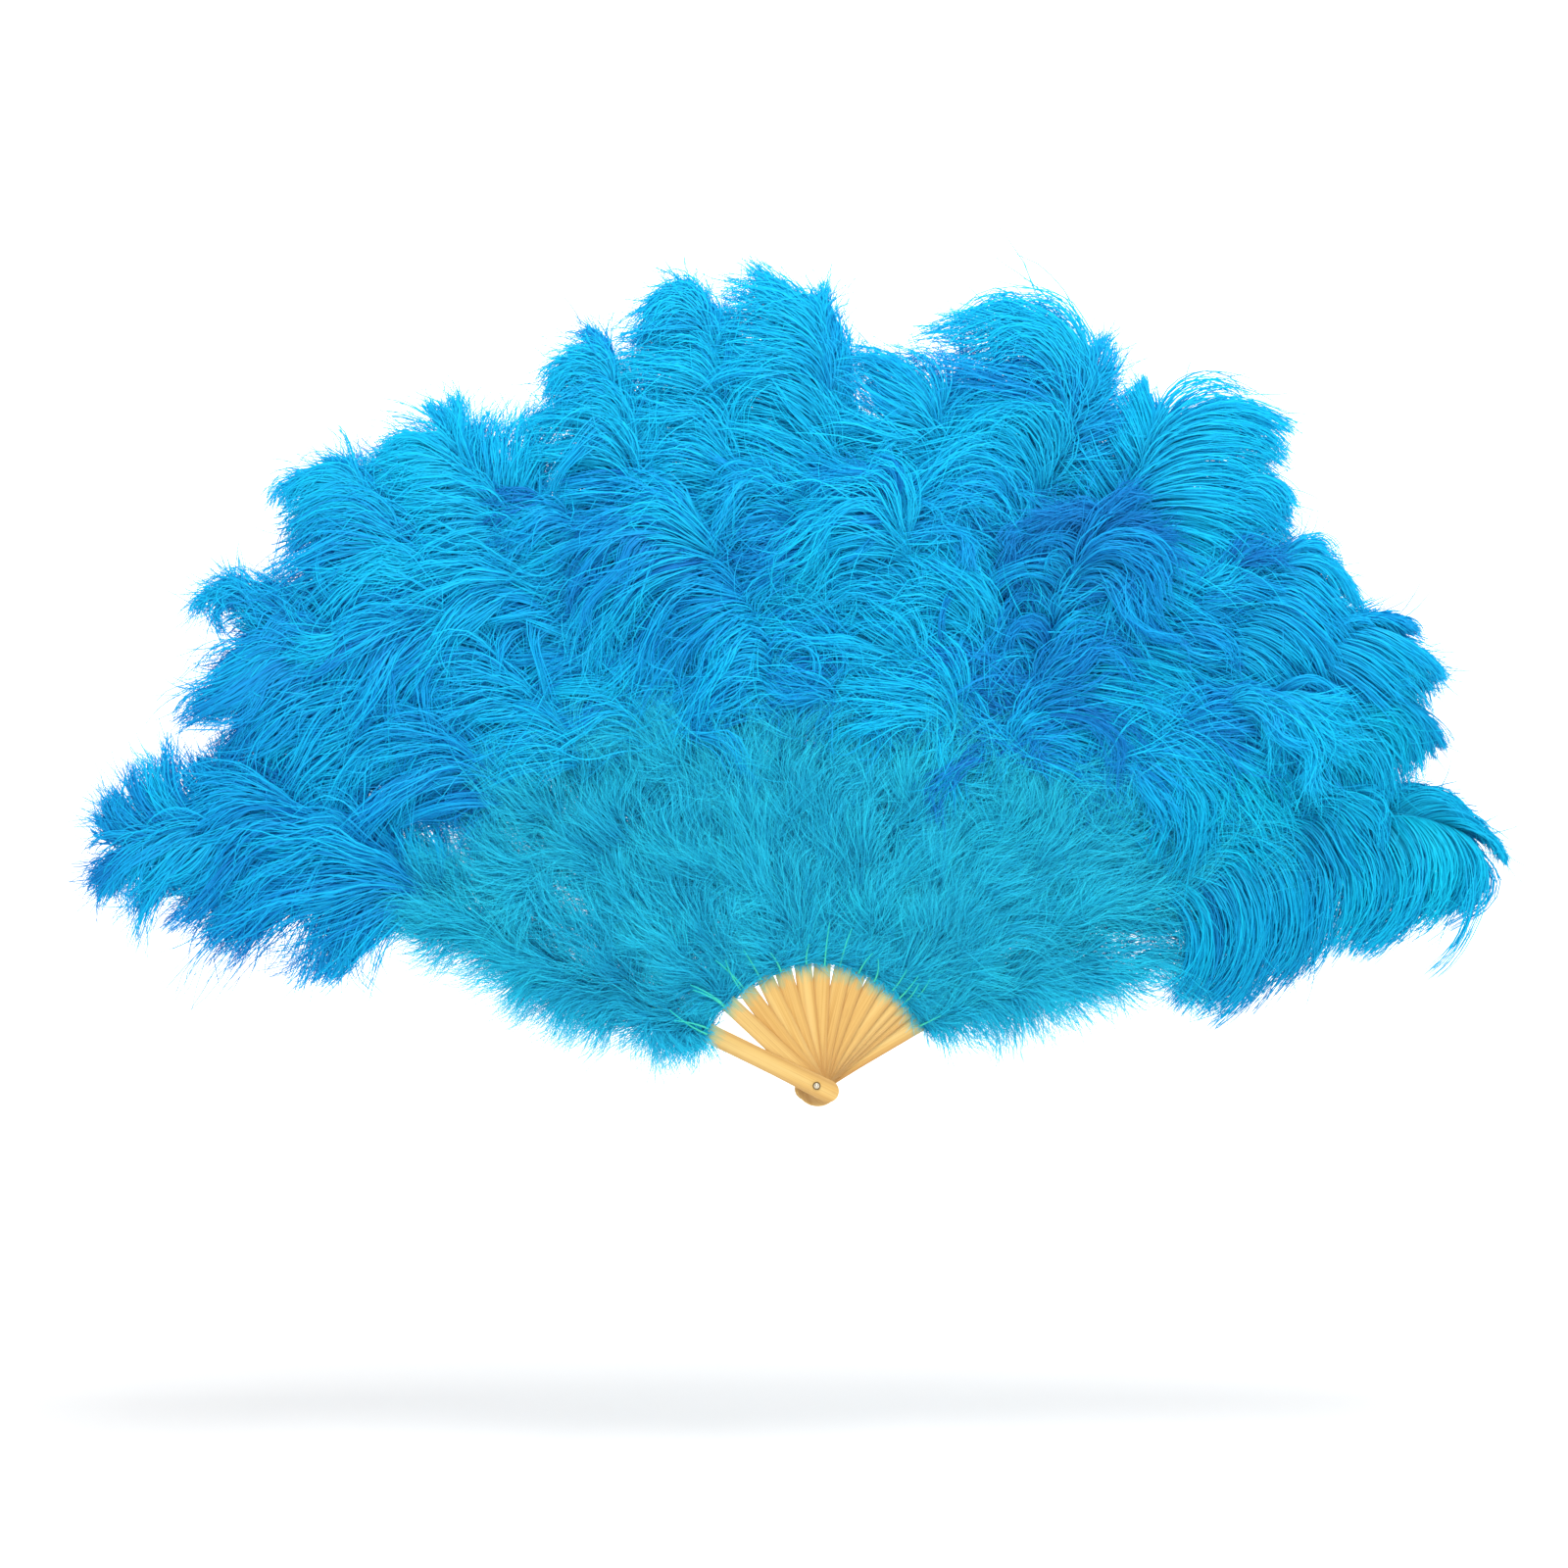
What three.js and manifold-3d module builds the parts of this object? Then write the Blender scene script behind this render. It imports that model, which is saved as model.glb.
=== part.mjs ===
// Ostrich feather fan, opened: fifteen bamboo sticks on one rivet, each with a
// long ostrich plume, most with a shorter plume in front of it, and a bundle of
// soft marabou tied over the joint between bamboo and plume.
//
// Frame: millimetres, +Z up, +X to the viewer's right, the front faces -Y.
// The origin is on the rivet's axis, half way through the stack of sticks.
// Each stick turns about the Y axis inside a layer of its own. A layer's
// middle, layerY(k, r), depends only on the distance r from the rivet, so
// turning a stick never brings its solids into a neighbour's layer.
import * as THREE from "three";
import { mergeVertices } from "three/addons/utils/BufferGeometryUtils.js";
import Module from "manifold-3d";

const wasm = await Module();
wasm.setup();

// ---- driving dimensions (mm, degrees) ----
// Centre-line angle of each stick, from +X, front guard first, back guard last.
const STICK_ANGLES = [
  154, 137, 126.4, 115.7, 106.3, 96.5, 87.2, 77.2, 69.4, 60.1, 52, 47, 43, 39, 30.5,
];
const LAST = STICK_ANGLES.length - 1;
const MIDDLE = LAST / 2;
const PITCH = 2.4; // from one stick to the next behind it, in the bamboo
const PLUME_PITCH = 4.4; // the same among the plumes
const PITCH_GROWS = [320, 640]; // radii between which the layers spread
const CURL = 48; // how far the plumes' tips curl forward
const CURL_FROM = 330;
const CURL_TO = 750;
const LAYER_GAP = 0.7; // free space between two layers
const PLY_GAP = 0.3; // half the space between a long and a short plume

const BLADE_T = 1.8; // thickness of an inner stick
const GUARD_T = 3.0; // thickness of the two outer sticks
const BLADE_END = 110; // radius of the shoulder where the blade ends
const BLADE_HALF = 7.7;
const HEAD_R = 9.2;
const HEAD_REACH = 19.6; // how far a head reaches past the rivet
const GUARD_HALF = 8.7;
const GUARD_HEAD_R = 10;
const GUARD_HEAD_REACH = 21;
const RIB_HALF = 3.0;
const RIB_TIP_HALF = 2.2;
const RIB_END = 300;
const PIN_HOLE_R = 1.9;

const RIVET_SHAFT_R = 1.5;
const RIVET_HEAD_R = 2.5;
const RIVET_HEAD_T = 0.6;
const RIVET_DOME_R = 1.5;
const WASHER_R = 3.5;
const WASHER_HOLE_R = 1.85;
const WASHER_T = 0.8;
const TOUCH = 0.25; // gap between pieces that rest on each other

const QUILL_START = 122;
const QUILL_LINE = 1.5; // a quill's distance from the stick's centre line
const QUILL_HALF = 1.1;
const VANE_START = 395; // radius where a plume's vane begins

const MARABOU_START = 111;
const MARABOU_END = 384;
const MARABOU_LOFT = 12; // extra thickness on the two outer faces of the fan

// Plumes: [bend x, bend z, tip x, tip z, half width left, half width right];
// left is the side to the left of a walk from the rivet to the tip.
const LONG_PLUMES = [
  [-510, 277, -652, 190, 84, 62],
  [-405, 399, -552, 389, 66, 66],
  [-379, 496, -449, 563, 70, 66],
  [-291, 513, -352, 596, 74, 66],
  [-169, 513, -204, 669, 68, 64],
  [-90, 548, -125, 714, 76, 66],
  [10, 566, -28, 738, 74, 64],
  [102, 548, 104, 690, 68, 66],
  [194, 539, 229, 695, 66, 76],
  [286, 496, 334, 636, 64, 72],
  [347, 496, 419, 590, 68, 64],
  [391, 434, 448, 488, 62, 62],
  [435, 408, 522, 408, 58, 62],
  [470, 356, 564, 350, 62, 66],
  [505, 268, 597, 196, 58, 82],
];
const SHORT_PLUMES = [
  null,
  [-405, 425, -526, 445, 52, 52],
  [-335, 443, -436, 408, 52, 52],
  [-256, 469, -353, 491, 54, 54],
  [-186, 478, -256, 531, 54, 54],
  [-99, 496, -160, 513, 54, 54],
  [-11, 496, -64, 548, 54, 54],
  [67, 487, 50, 548, 54, 54],
  [137, 478, 155, 557, 54, 54],
  [225, 461, 260, 531, 54, 54],
  [321, 425, 374, 478, 52, 52],
  [374, 356, 435, 364, 50, 50],
  [400, 303, 479, 303, 50, 50],
  null,
  null,
];

// ---- helpers ----
const rad = (deg) => (deg * Math.PI) / 180;
const smooth = (a, b, x) => {
  const t = Math.min(1, Math.max(0, (x - a) / (b - a)));
  return t * t * (3 - 2 * t);
};
const pitchAt = (r) =>
  PITCH + (PLUME_PITCH - PITCH) * smooth(PITCH_GROWS[0], PITCH_GROWS[1], r);
const curlAt = (r) =>
  r <= CURL_FROM
    ? 0
    : -CURL * Math.pow((r - CURL_FROM) / (CURL_TO - CURL_FROM), 1.6);
const layerY = (k, r) => (k - MIDDLE) * pitchAt(r) + curlAt(r);
const layerHalf = (r) => (pitchAt(r) - LAYER_GAP) / 2;

function solidOf(geometry) {
  const g = geometry.clone();
  g.deleteAttribute("normal");
  g.deleteAttribute("uv");
  const m = mergeVertices(g, 1e-4);
  return new wasm.Manifold(
    new wasm.Mesh({
      numProp: 3,
      vertProperties: new Float32Array(m.attributes.position.array),
      triVerts: new Uint32Array(m.index.array),
    }),
  );
}

function geometryOf(solid) {
  const m = solid.getMesh();
  const g = new THREE.BufferGeometry();
  g.setAttribute("position", new THREE.BufferAttribute(m.vertProperties, 3));
  g.setIndex(new THREE.BufferAttribute(m.triVerts, 1));
  const flat = g.toNonIndexed();
  flat.computeVertexNormals();
  return flat;
}

// A flat outline in the fan's plane, extruded along Y from y0 to y1.
function plate(outline, holeR, y0, y1) {
  const shape = new THREE.Shape(outline.map(([u, t]) => new THREE.Vector2(u, t)));
  if (holeR) {
    const hole = new THREE.Path();
    hole.absarc(0, 0, holeR, 0, Math.PI * 2, true);
    shape.holes.push(hole);
  }
  const g = new THREE.ExtrudeGeometry(shape, {
    depth: y1 - y0,
    bevelEnabled: false,
    curveSegments: 16,
  });
  g.rotateX(Math.PI / 2);
  g.translate(0, y1, 0);
  return g;
}

// A closed sheet with thickness. rows[i][j] = [x, z, yFront, yBack].
function sheet(rows) {
  const n = rows.length,
    m = rows[0].length;
  const position = [];
  for (const side of [2, 3])
    for (const row of rows)
      for (const p of row) position.push(p[0], p[side], p[1]);
  const front = (i, j) => i * m + j;
  const back = (i, j) => n * m + i * m + j;
  const index = [];
  const quad = (a, b, c, d) => index.push(a, b, c, a, c, d);
  for (let i = 0; i < n - 1; i++)
    for (let j = 0; j < m - 1; j++) {
      quad(front(i, j), front(i + 1, j), front(i + 1, j + 1), front(i, j + 1));
      quad(back(i, j), back(i, j + 1), back(i + 1, j + 1), back(i + 1, j));
    }
  for (let i = 0; i < n - 1; i++) {
    quad(front(i, 0), back(i, 0), back(i + 1, 0), front(i + 1, 0));
    quad(front(i, m - 1), front(i + 1, m - 1), back(i + 1, m - 1), back(i, m - 1));
  }
  for (let j = 0; j < m - 1; j++) {
    quad(front(0, j), front(0, j + 1), back(0, j + 1), back(0, j));
    quad(front(n - 1, j), back(n - 1, j), back(n - 1, j + 1), front(n - 1, j + 1));
  }
  const g = new THREE.BufferGeometry();
  g.setAttribute("position", new THREE.Float32BufferAttribute(position, 3));
  g.setIndex(index);
  return g;
}

// Turns a solid whose faces point inwards the right way round.
function outward(geometry) {
  const s = solidOf(geometry);
  if (s.volume() > 0) return s;
  const i = geometry.index.array;
  for (let k = 0; k < i.length; k += 3) [i[k + 1], i[k + 2]] = [i[k + 2], i[k + 1]];
  return solidOf(geometry);
}

const material = (color, roughness, metalness) =>
  new THREE.MeshStandardMaterial({ color, roughness, metalness });
const BAMBOO = [0xfad782, 0.45, 0];
const METAL = [0xb9a07a, 0.3, 1];
const OSTRICH = [0x18a4e0, 0.75, 0];
const MARABOU = [0x26a5c8, 0.85, 0];

const fan = new THREE.Group();
fan.name = "feather_fan";

function add(parent, name, solid, look) {
  const mesh = new THREE.Mesh(geometryOf(solid), material(...look));
  mesh.name = name;
  parent.add(mesh);
  return mesh;
}

// ---- bamboo stick: rounded head, blade, shoulder, slim rib ----
function stickSolid(k) {
  const guard = k === 0 || k === LAST;
  const headR = guard ? GUARD_HEAD_R : HEAD_R;
  const reach = guard ? GUARD_HEAD_REACH : HEAD_REACH;
  const half = guard ? GUARD_HALF : BLADE_HALF;
  const mid = layerY(k, 0);
  const outline = [];
  const centre = -(reach - headR);
  for (let i = 0; i <= 14; i++) {
    const a = Math.PI / 2 + (Math.PI * i) / 14;
    outline.push([centre + headR * Math.cos(a), headR * Math.sin(a)]);
  }
  outline.push([45, -half], [BLADE_END - 1.5, -half + 0.3], [BLADE_END, -half + 1.8]);
  outline.push([BLADE_END, half - 1.8], [BLADE_END - 1.5, half - 0.3], [45, half]);
  // A guard keeps its inner face and grows outward.
  let y0 = mid - BLADE_T / 2,
    y1 = mid + BLADE_T / 2;
  if (k === 0) {
    y1 = mid + layerHalf(0);
    y0 = y1 - GUARD_T;
  }
  if (k === LAST) {
    y0 = mid - layerHalf(0);
    y1 = y0 + GUARD_T;
  }
  const blade = solidOf(plate(outline, PIN_HOLE_R, y0, y1));
  const rib = solidOf(
    plate(
      [
        [BLADE_END - 8, -RIB_HALF],
        [RIB_END, -RIB_TIP_HALF],
        [RIB_END, RIB_TIP_HALF],
        [BLADE_END - 8, RIB_HALF],
      ],
      0,
      mid + 0.1,
      mid + layerHalf(0),
    ),
  );
  return blade.add(rib);
}

// ---- ostrich plume: a quill in front of the rib, then a vane ----
// side +1 puts the vane in the layer's rear half, -1 in its front half.
function plumeSolid(k, spec, side) {
  const th = rad(STICK_ANGLES[k]);
  const along = [Math.cos(th), Math.sin(th)];
  const left = [-Math.sin(th), Math.cos(th)];
  const at = (u, t) => [along[0] * u + left[0] * t, along[1] * u + left[1] * t];
  const [bx, bz, tx, tz, wl, wr] = spec;
  const line = side * QUILL_LINE;
  const start = at(VANE_START, line);
  const rows = [];
  const columns = [-1, -0.5, 0, 0.5, 1];
  const put = (p, n, l, r, f, b) =>
    rows.push(
      columns.map((c) => {
        const w = c > 0 ? c * l : c * r;
        const x = p[0] + n[0] * w,
          z = p[1] + n[1] * w;
        const rr = Math.hypot(x, z);
        const y = layerY(k, rr);
        return [x, z, y + f(rr), y + b(rr)];
      }),
    );
  const frontHalf = [(r) => -layerHalf(Math.min(r, PITCH_GROWS[0])), () => -0.2];
  const vane =
    side > 0
      ? [() => PLY_GAP, (r) => layerHalf(r)]
      : [(r) => -layerHalf(r), () => -PLY_GAP];
  put(at(QUILL_START, line), left, QUILL_HALF, QUILL_HALF, ...frontHalf);
  put(at(RIB_END + 8, line), left, QUILL_HALF, QUILL_HALF, ...frontHalf);
  put(at(VANE_START - 40, line), left, QUILL_HALF, QUILL_HALF, ...vane);
  put(at(VANE_START - 6, line), left, QUILL_HALF, QUILL_HALF, ...vane);
  const steps = 9;
  for (let i = 0; i <= steps; i++) {
    const s = i / steps;
    const a = (1 - s) * (1 - s),
      b = 2 * s * (1 - s),
      c = s * s;
    const p = [
      start[0] * a + bx * b + tx * c,
      start[1] * a + bz * b + tz * c,
    ];
    let d = [
      (bx - start[0]) * (1 - s) + (tx - bx) * s,
      (bz - start[1]) * (1 - s) + (tz - bz) * s,
    ];
    const q = Math.hypot(d[0], d[1]);
    const n = [-d[1] / q, d[0] / q];
    const open = 0.4 + 0.6 * (s < 0.35 ? 1 - Math.pow(1 - s / 0.35, 2) : 1);
    const close = s > 0.6 ? Math.sqrt(Math.max(0, 1 - Math.pow((s - 0.6) / 0.42, 2))) : 1;
    const w = open * close;
    put(p, n, QUILL_HALF + wl * w, QUILL_HALF + wr * w, ...vane);
  }
  return outward(sheet(rows));
}

// ---- marabou bundle: two soft wings beside the rib, tied across its front ----
function marabouSolid(k) {
  const th = rad(STICK_ANGLES[k]);
  const along = [Math.cos(th), Math.sin(th)];
  const left = [-Math.sin(th), Math.cos(th)];
  const loftFront = k === 0 ? MARABOU_LOFT : 0;
  const loftBack = k === LAST ? MARABOU_LOFT : 0;
  const inner = RIB_HALF + 0.6;
  const wing = (side) => {
    const rows = [];
    const steps = 8;
    for (let i = 0; i <= steps; i++) {
      const s = i / steps;
      const u = MARABOU_START + (MARABOU_END - MARABOU_START) * s;
      const outer =
        inner + 5 + 42 * Math.pow(Math.sin(Math.min(1, s * 1.25) * Math.PI * 0.5), 0.9);
      const round = s > 0.85 ? 0.8 : 1;
      const puff = Math.sin(Math.PI * Math.min(1, s * 1.1)) ** 0.5;
      rows.push(
        [0, 0.5, 1].map((c) => {
          const t = side * (inner + (outer * round - inner) * c);
          const x = along[0] * u + left[0] * t,
            z = along[1] * u + left[1] * t;
          const r = Math.hypot(x, z);
          const y = layerY(k, r);
          return [
            x,
            z,
            y - layerHalf(r) - loftFront * puff,
            y + layerHalf(r) + loftBack * puff,
          ];
        }),
      );
    }
    return outward(sheet(rows));
  };
  const mid = layerY(k, 0);
  const tie = plate(
    [
      [MARABOU_START, -inner - 2.5],
      [MARABOU_START + 9, -inner - 2.5],
      [MARABOU_START + 9, inner + 2.5],
      [MARABOU_START, inner + 2.5],
    ],
    0,
    mid - layerHalf(0),
    mid - 0.2,
  );
  tie.rotateY(-th);
  return wing(1).add(wing(-1)).add(solidOf(tie));
}

// ---- assembly ----
STICK_ANGLES.forEach((angle, k) => {
  const arm = new THREE.Group();
  arm.rotation.y = -rad(angle);
  fan.add(arm);
  const name =
    k === 0 ? "front_guard" : k === LAST ? "back_guard" : `stick_${k}`;
  add(arm, name, stickSolid(k), BAMBOO);
  add(fan, `marabou_${k}`, marabouSolid(k), MARABOU);
  add(fan, `long_plume_${k}`, plumeSolid(k, LONG_PLUMES[k], 1), OSTRICH);
  if (SHORT_PLUMES[k])
    add(fan, `short_plume_${k}`, plumeSolid(k, SHORT_PLUMES[k], -1), OSTRICH);
});

// Rivet: domed head in front, shaft through all sticks, peened tail behind.
const stackFront = layerY(0, 0) + layerHalf(0) - GUARD_T;
const stackBack = layerY(LAST, 0) - layerHalf(0) + GUARD_T;
const washerFront = stackFront - TOUCH;
const washerBack = stackBack + TOUCH;
function turned(profile) {
  // profile: [radius, y] pairs, lathed about the Y axis
  const g = new THREE.LatheGeometry(
    profile.map(([r, y]) => new THREE.Vector2(r, y)),
    24,
  );
  return outward(mergeVertices((g.deleteAttribute("normal"), g.deleteAttribute("uv"), g), 1e-4));
}
const headBack = washerFront - WASHER_T - TOUCH;
const headFront = headBack - RIVET_HEAD_T;
const tailFront = washerBack + WASHER_T + TOUCH;
const tailBack = tailFront + RIVET_HEAD_T;
add(
  fan,
  "rivet",
  turned([
    [0, headFront - 0.9],
    [RIVET_DOME_R * 0.55, headFront - 0.75],
    [RIVET_DOME_R * 0.9, headFront - 0.35],
    [RIVET_DOME_R, headFront],
    [RIVET_HEAD_R - 0.25, headFront],
    [RIVET_HEAD_R, headFront + 0.25],
    [RIVET_HEAD_R, headBack],
    [RIVET_SHAFT_R, headBack],
    [RIVET_SHAFT_R, tailFront],
    [RIVET_HEAD_R, tailFront],
    [RIVET_HEAD_R - 0.1, tailBack - 0.2],
    [RIVET_HEAD_R - 0.6, tailBack],
    [0, tailBack + 0.2],
  ]),
  METAL,
);
const washer = (y0) =>
  turned([
    [WASHER_HOLE_R, y0],
    [WASHER_R - 0.15, y0],
    [WASHER_R, y0 + 0.15],
    [WASHER_R, y0 + WASHER_T - 0.15],
    [WASHER_R - 0.15, y0 + WASHER_T],
    [WASHER_HOLE_R, y0 + WASHER_T],
    [WASHER_HOLE_R, y0],
  ]);
add(fan, "front_washer", washer(washerFront - WASHER_T), METAL);
add(fan, "back_washer", washer(washerBack), METAL);

export default fan;
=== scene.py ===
import math

import bpy
import numpy as np
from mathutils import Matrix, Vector
from mathutils.geometry import tessellate_polygon


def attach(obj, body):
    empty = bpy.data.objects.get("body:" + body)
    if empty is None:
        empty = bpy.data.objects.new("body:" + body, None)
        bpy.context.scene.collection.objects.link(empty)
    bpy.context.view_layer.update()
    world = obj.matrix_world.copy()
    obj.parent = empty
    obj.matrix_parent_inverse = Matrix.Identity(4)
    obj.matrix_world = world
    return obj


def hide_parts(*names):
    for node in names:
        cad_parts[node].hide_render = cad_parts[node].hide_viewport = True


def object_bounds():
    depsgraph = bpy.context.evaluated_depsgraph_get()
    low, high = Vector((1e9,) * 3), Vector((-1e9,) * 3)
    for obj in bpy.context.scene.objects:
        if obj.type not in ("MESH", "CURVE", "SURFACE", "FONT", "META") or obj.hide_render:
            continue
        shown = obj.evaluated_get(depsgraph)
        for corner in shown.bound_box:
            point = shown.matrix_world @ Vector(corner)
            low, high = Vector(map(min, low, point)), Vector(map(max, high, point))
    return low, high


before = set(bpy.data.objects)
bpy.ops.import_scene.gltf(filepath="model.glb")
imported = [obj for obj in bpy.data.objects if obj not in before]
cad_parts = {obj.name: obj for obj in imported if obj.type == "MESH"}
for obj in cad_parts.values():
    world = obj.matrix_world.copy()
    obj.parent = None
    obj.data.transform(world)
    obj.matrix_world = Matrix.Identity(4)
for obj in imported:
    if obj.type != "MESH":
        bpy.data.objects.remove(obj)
CAD_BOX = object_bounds()


def as_list(box):
    return [[float(c) for c in corner] for corner in box]


(LOW_X, LOW_Y, LOW_Z), (HIGH_X, HIGH_Y, HIGH_Z) = as_list(CAD_BOX)
SPARE = lambda low, high: 0.03 * (high - low) + 0.0085
BOX_LOW = np.array([LOW_X - SPARE(LOW_X, HIGH_X), LOW_Y - SPARE(LOW_Y, HIGH_Y), LOW_Z - SPARE(LOW_Z, HIGH_Z)])
BOX_HIGH = np.array([HIGH_X + SPARE(LOW_X, HIGH_X), HIGH_Y + SPARE(LOW_Y, HIGH_Y), HIGH_Z + SPARE(LOW_Z, HIGH_Z)])

scene = bpy.context.scene
MM = 0.001

# ---------------------------------------------------------------- dimensions
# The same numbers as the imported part, in millimetres.
ANGLES = [154, 137, 126.4, 115.7, 106.3, 96.5, 87.2, 77.2, 69.4, 60.1, 52, 47, 43, 39, 30.5]
LAST = 14
PITCH, PLUME_PITCH = 2.4, 4.4
GROWS = (320, 640)
CURL, CURL_FROM, CURL_TO = 48, 330, 750
LAYER_GAP = 0.7
BLADE_T, GUARD_T = 1.8, 3.0
BLADE_END = 110
VANE_START = 395
LONG = [
    [-510, 277, -652, 190, 84, 62],
    [-405, 399, -552, 389, 66, 66],
    [-379, 496, -449, 563, 70, 66],
    [-291, 513, -352, 596, 74, 66],
    [-169, 513, -204, 669, 68, 64],
    [-90, 548, -125, 714, 76, 66],
    [10, 566, -28, 738, 74, 64],
    [102, 548, 104, 690, 68, 66],
    [194, 539, 229, 695, 66, 76],
    [286, 496, 334, 636, 64, 72],
    [347, 496, 419, 590, 68, 64],
    [391, 434, 448, 488, 62, 62],
    [435, 408, 522, 408, 58, 62],
    [470, 356, 564, 350, 62, 66],
    [505, 268, 597, 196, 58, 82],
]
SHORT = [
    None,
    [-405, 425, -526, 445, 52, 52],
    [-335, 443, -436, 408, 52, 52],
    [-256, 469, -353, 491, 54, 54],
    [-186, 478, -256, 531, 54, 54],
    [-99, 496, -160, 513, 54, 54],
    [-11, 496, -64, 548, 54, 54],
    [67, 487, 50, 548, 54, 54],
    [137, 478, 155, 557, 54, 54],
    [225, 461, 260, 531, 54, 54],
    [321, 425, 374, 478, 52, 52],
    [374, 356, 435, 364, 50, 50],
    [400, 303, 479, 303, 50, 50],
    None,
    None,
]


def smooth(a, b, x):
    t = np.clip((np.asarray(x, float) - a) / (b - a), 0, 1)
    return t * t * (3 - 2 * t)


def pitch_at(r):
    return PITCH + (PLUME_PITCH - PITCH) * smooth(GROWS[0], GROWS[1], r)


def curl_at(r):
    return -CURL * np.power(np.clip((np.asarray(r, float) - CURL_FROM) / (CURL_TO - CURL_FROM), 0, None), 1.6)


def layer_y(k, r):
    return (k - LAST / 2) * pitch_at(r) + curl_at(r)


# ---------------------------------------------------------------- materials
def srgb(r, g, b):
    def lin(c):
        c /= 255
        return c / 12.92 if c <= 0.04045 else ((c + 0.055) / 1.055) ** 2.4

    return (lin(r), lin(g), lin(b), 1)


class Nodes:
    """Short ways to write a node tree."""

    def __init__(self, name):
        self.mat = bpy.data.materials.new(name)
        self.mat.use_nodes = True
        self.nt = self.mat.node_tree
        self.bsdf = self.nt.nodes["Principled BSDF"]

    def add(self, kind, **values):
        n = self.nt.nodes.new(kind)
        for key, v in values.items():
            setattr(n, key, v)
        return n

    def link(self, a, b):
        self.nt.links.new(a, b)

    def put(self, node, **sockets):
        for key, v in sockets.items():
            s = node.inputs[key]
            if hasattr(v, "is_linked") or isinstance(v, bpy.types.NodeSocket):
                self.link(v, s)
            else:
                s.default_value = v
        return node

    def maths(self, op, a, b=None):
        n = self.add("ShaderNodeMath", operation=op)
        for i, v in enumerate((a, b)):
            if v is None:
                continue
            if isinstance(v, bpy.types.NodeSocket):
                self.link(v, n.inputs[i])
            else:
                n.inputs[i].default_value = v
        return n.outputs[0]

    def mix(self, fac, a, b, kind="MIX"):
        n = self.add("ShaderNodeMix", data_type="RGBA", blend_type=kind)
        for key, v in ((0, fac), (6, a), (7, b)):
            if isinstance(v, bpy.types.NodeSocket):
                self.link(v, n.inputs[key])
            else:
                n.inputs[key].default_value = v
        return n.outputs[2]

    def ramp(self, fac, stops):
        n = self.add("ShaderNodeValToRGB")
        e = n.color_ramp.elements
        while len(e) > 1:
            e.remove(e[0])
        e[0].position, e[0].color = stops[0]
        for pos, col in stops[1:]:
            x = e.new(pos)
            x.color = col
        self.link(fac, n.inputs[0])
        return n.outputs[0]


def strand_material(name, along, tones, rough=0.6, sheen=0.25, tint=(0.5, 0.9, 1, 1), gloss=0.12):
    """Colour of a feather strand: along[] runs from root to tip, tones[] from the darkest strand to the lightest."""
    m = Nodes(name)
    uv = m.add("ShaderNodeUVMap", uv_map="OFBake").outputs[0]
    sep = m.add("ShaderNodeSeparateXYZ")
    m.link(uv, sep.inputs[0])
    tone, run = sep.outputs[0], sep.outputs[1]
    base = m.ramp(run, along)
    shade = m.ramp(tone, tones)
    m.link(m.mix(1.0, base, shade, "MULTIPLY"), m.bsdf.inputs["Base Color"])
    m.bsdf.inputs["Roughness"].default_value = rough
    m.bsdf.inputs["Specular IOR Level"].default_value = gloss
    m.bsdf.inputs["Sheen Weight"].default_value = sheen
    m.bsdf.inputs["Sheen Roughness"].default_value = 0.45
    m.bsdf.inputs["Sheen Tint"].default_value = tint
    return m.mat


# barbs run from a slightly darker colour by the shaft to a lighter one at the tip: painted shade along the parting
OSTRICH = strand_material(
    "ostrich_barbs",
    [(0.0, srgb(30, 180, 232)), (0.2, srgb(24, 194, 240)), (0.6, srgb(14, 206, 250)), (1.0, srgb(20, 212, 252))],
    [(0.0, (1.0, 0.34, 0.62, 1)), (0.25, (1.0, 0.52, 0.79, 1)), (0.5, (1.0, 0.76, 0.91, 1)), (0.75, (1, 0.91, 0.95, 1)), (1.0, (1.0, 1.0, 0.98, 1))],
    sheen=0.0,
)
# marabou strands are dark at the root and light at the tip: painted shade deep in the fluff and painted highlights on
# the tips
MARABOU = strand_material(
    "marabou_fluff",
    [(0.0, srgb(16, 136, 184)), (0.3, srgb(30, 182, 222)), (0.75, srgb(40, 212, 242)), (1.0, srgb(60, 226, 250))],
    [(0.0, (0.5, 0.62, 0.74, 1)), (0.35, (0.8, 0.88, 0.94, 1)), (0.7, (1, 1, 1, 1)), (1.0, (0.95, 1.08, 1.03, 1))],
    rough=0.7,
    sheen=0.12,
)
# barbs run from a slightly darker colour by the shaft to a lighter one at the tip: painted shade along the parting
OSTRICH_TEAL = strand_material(
    "ostrich_barbs_teal",
    [(0.0, srgb(14, 184, 218)), (0.2, srgb(10, 194, 230)), (0.6, srgb(8, 206, 244)), (1.0, srgb(12, 210, 248))],
    [(0.0, (1.0, 0.33, 0.54, 1)), (0.25, (1.0, 0.50, 0.73, 1)), (0.5, (1.0, 0.76, 0.87, 1)), (0.75, (1, 0.93, 0.94, 1)), (1.0, (1.0, 1.03, 0.98, 1))],
    sheen=0.0,
)
QUILL = strand_material(
    "dyed_quill",
    [(0.0, srgb(84, 236, 190)), (0.25, srgb(50, 216, 205)), (1.0, srgb(10, 170, 220))],
    [(0.0, (0.85, 0.9, 0.95, 1)), (1.0, (1, 1, 1, 1))],
    rough=0.38,
    sheen=0.0,
)


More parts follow.
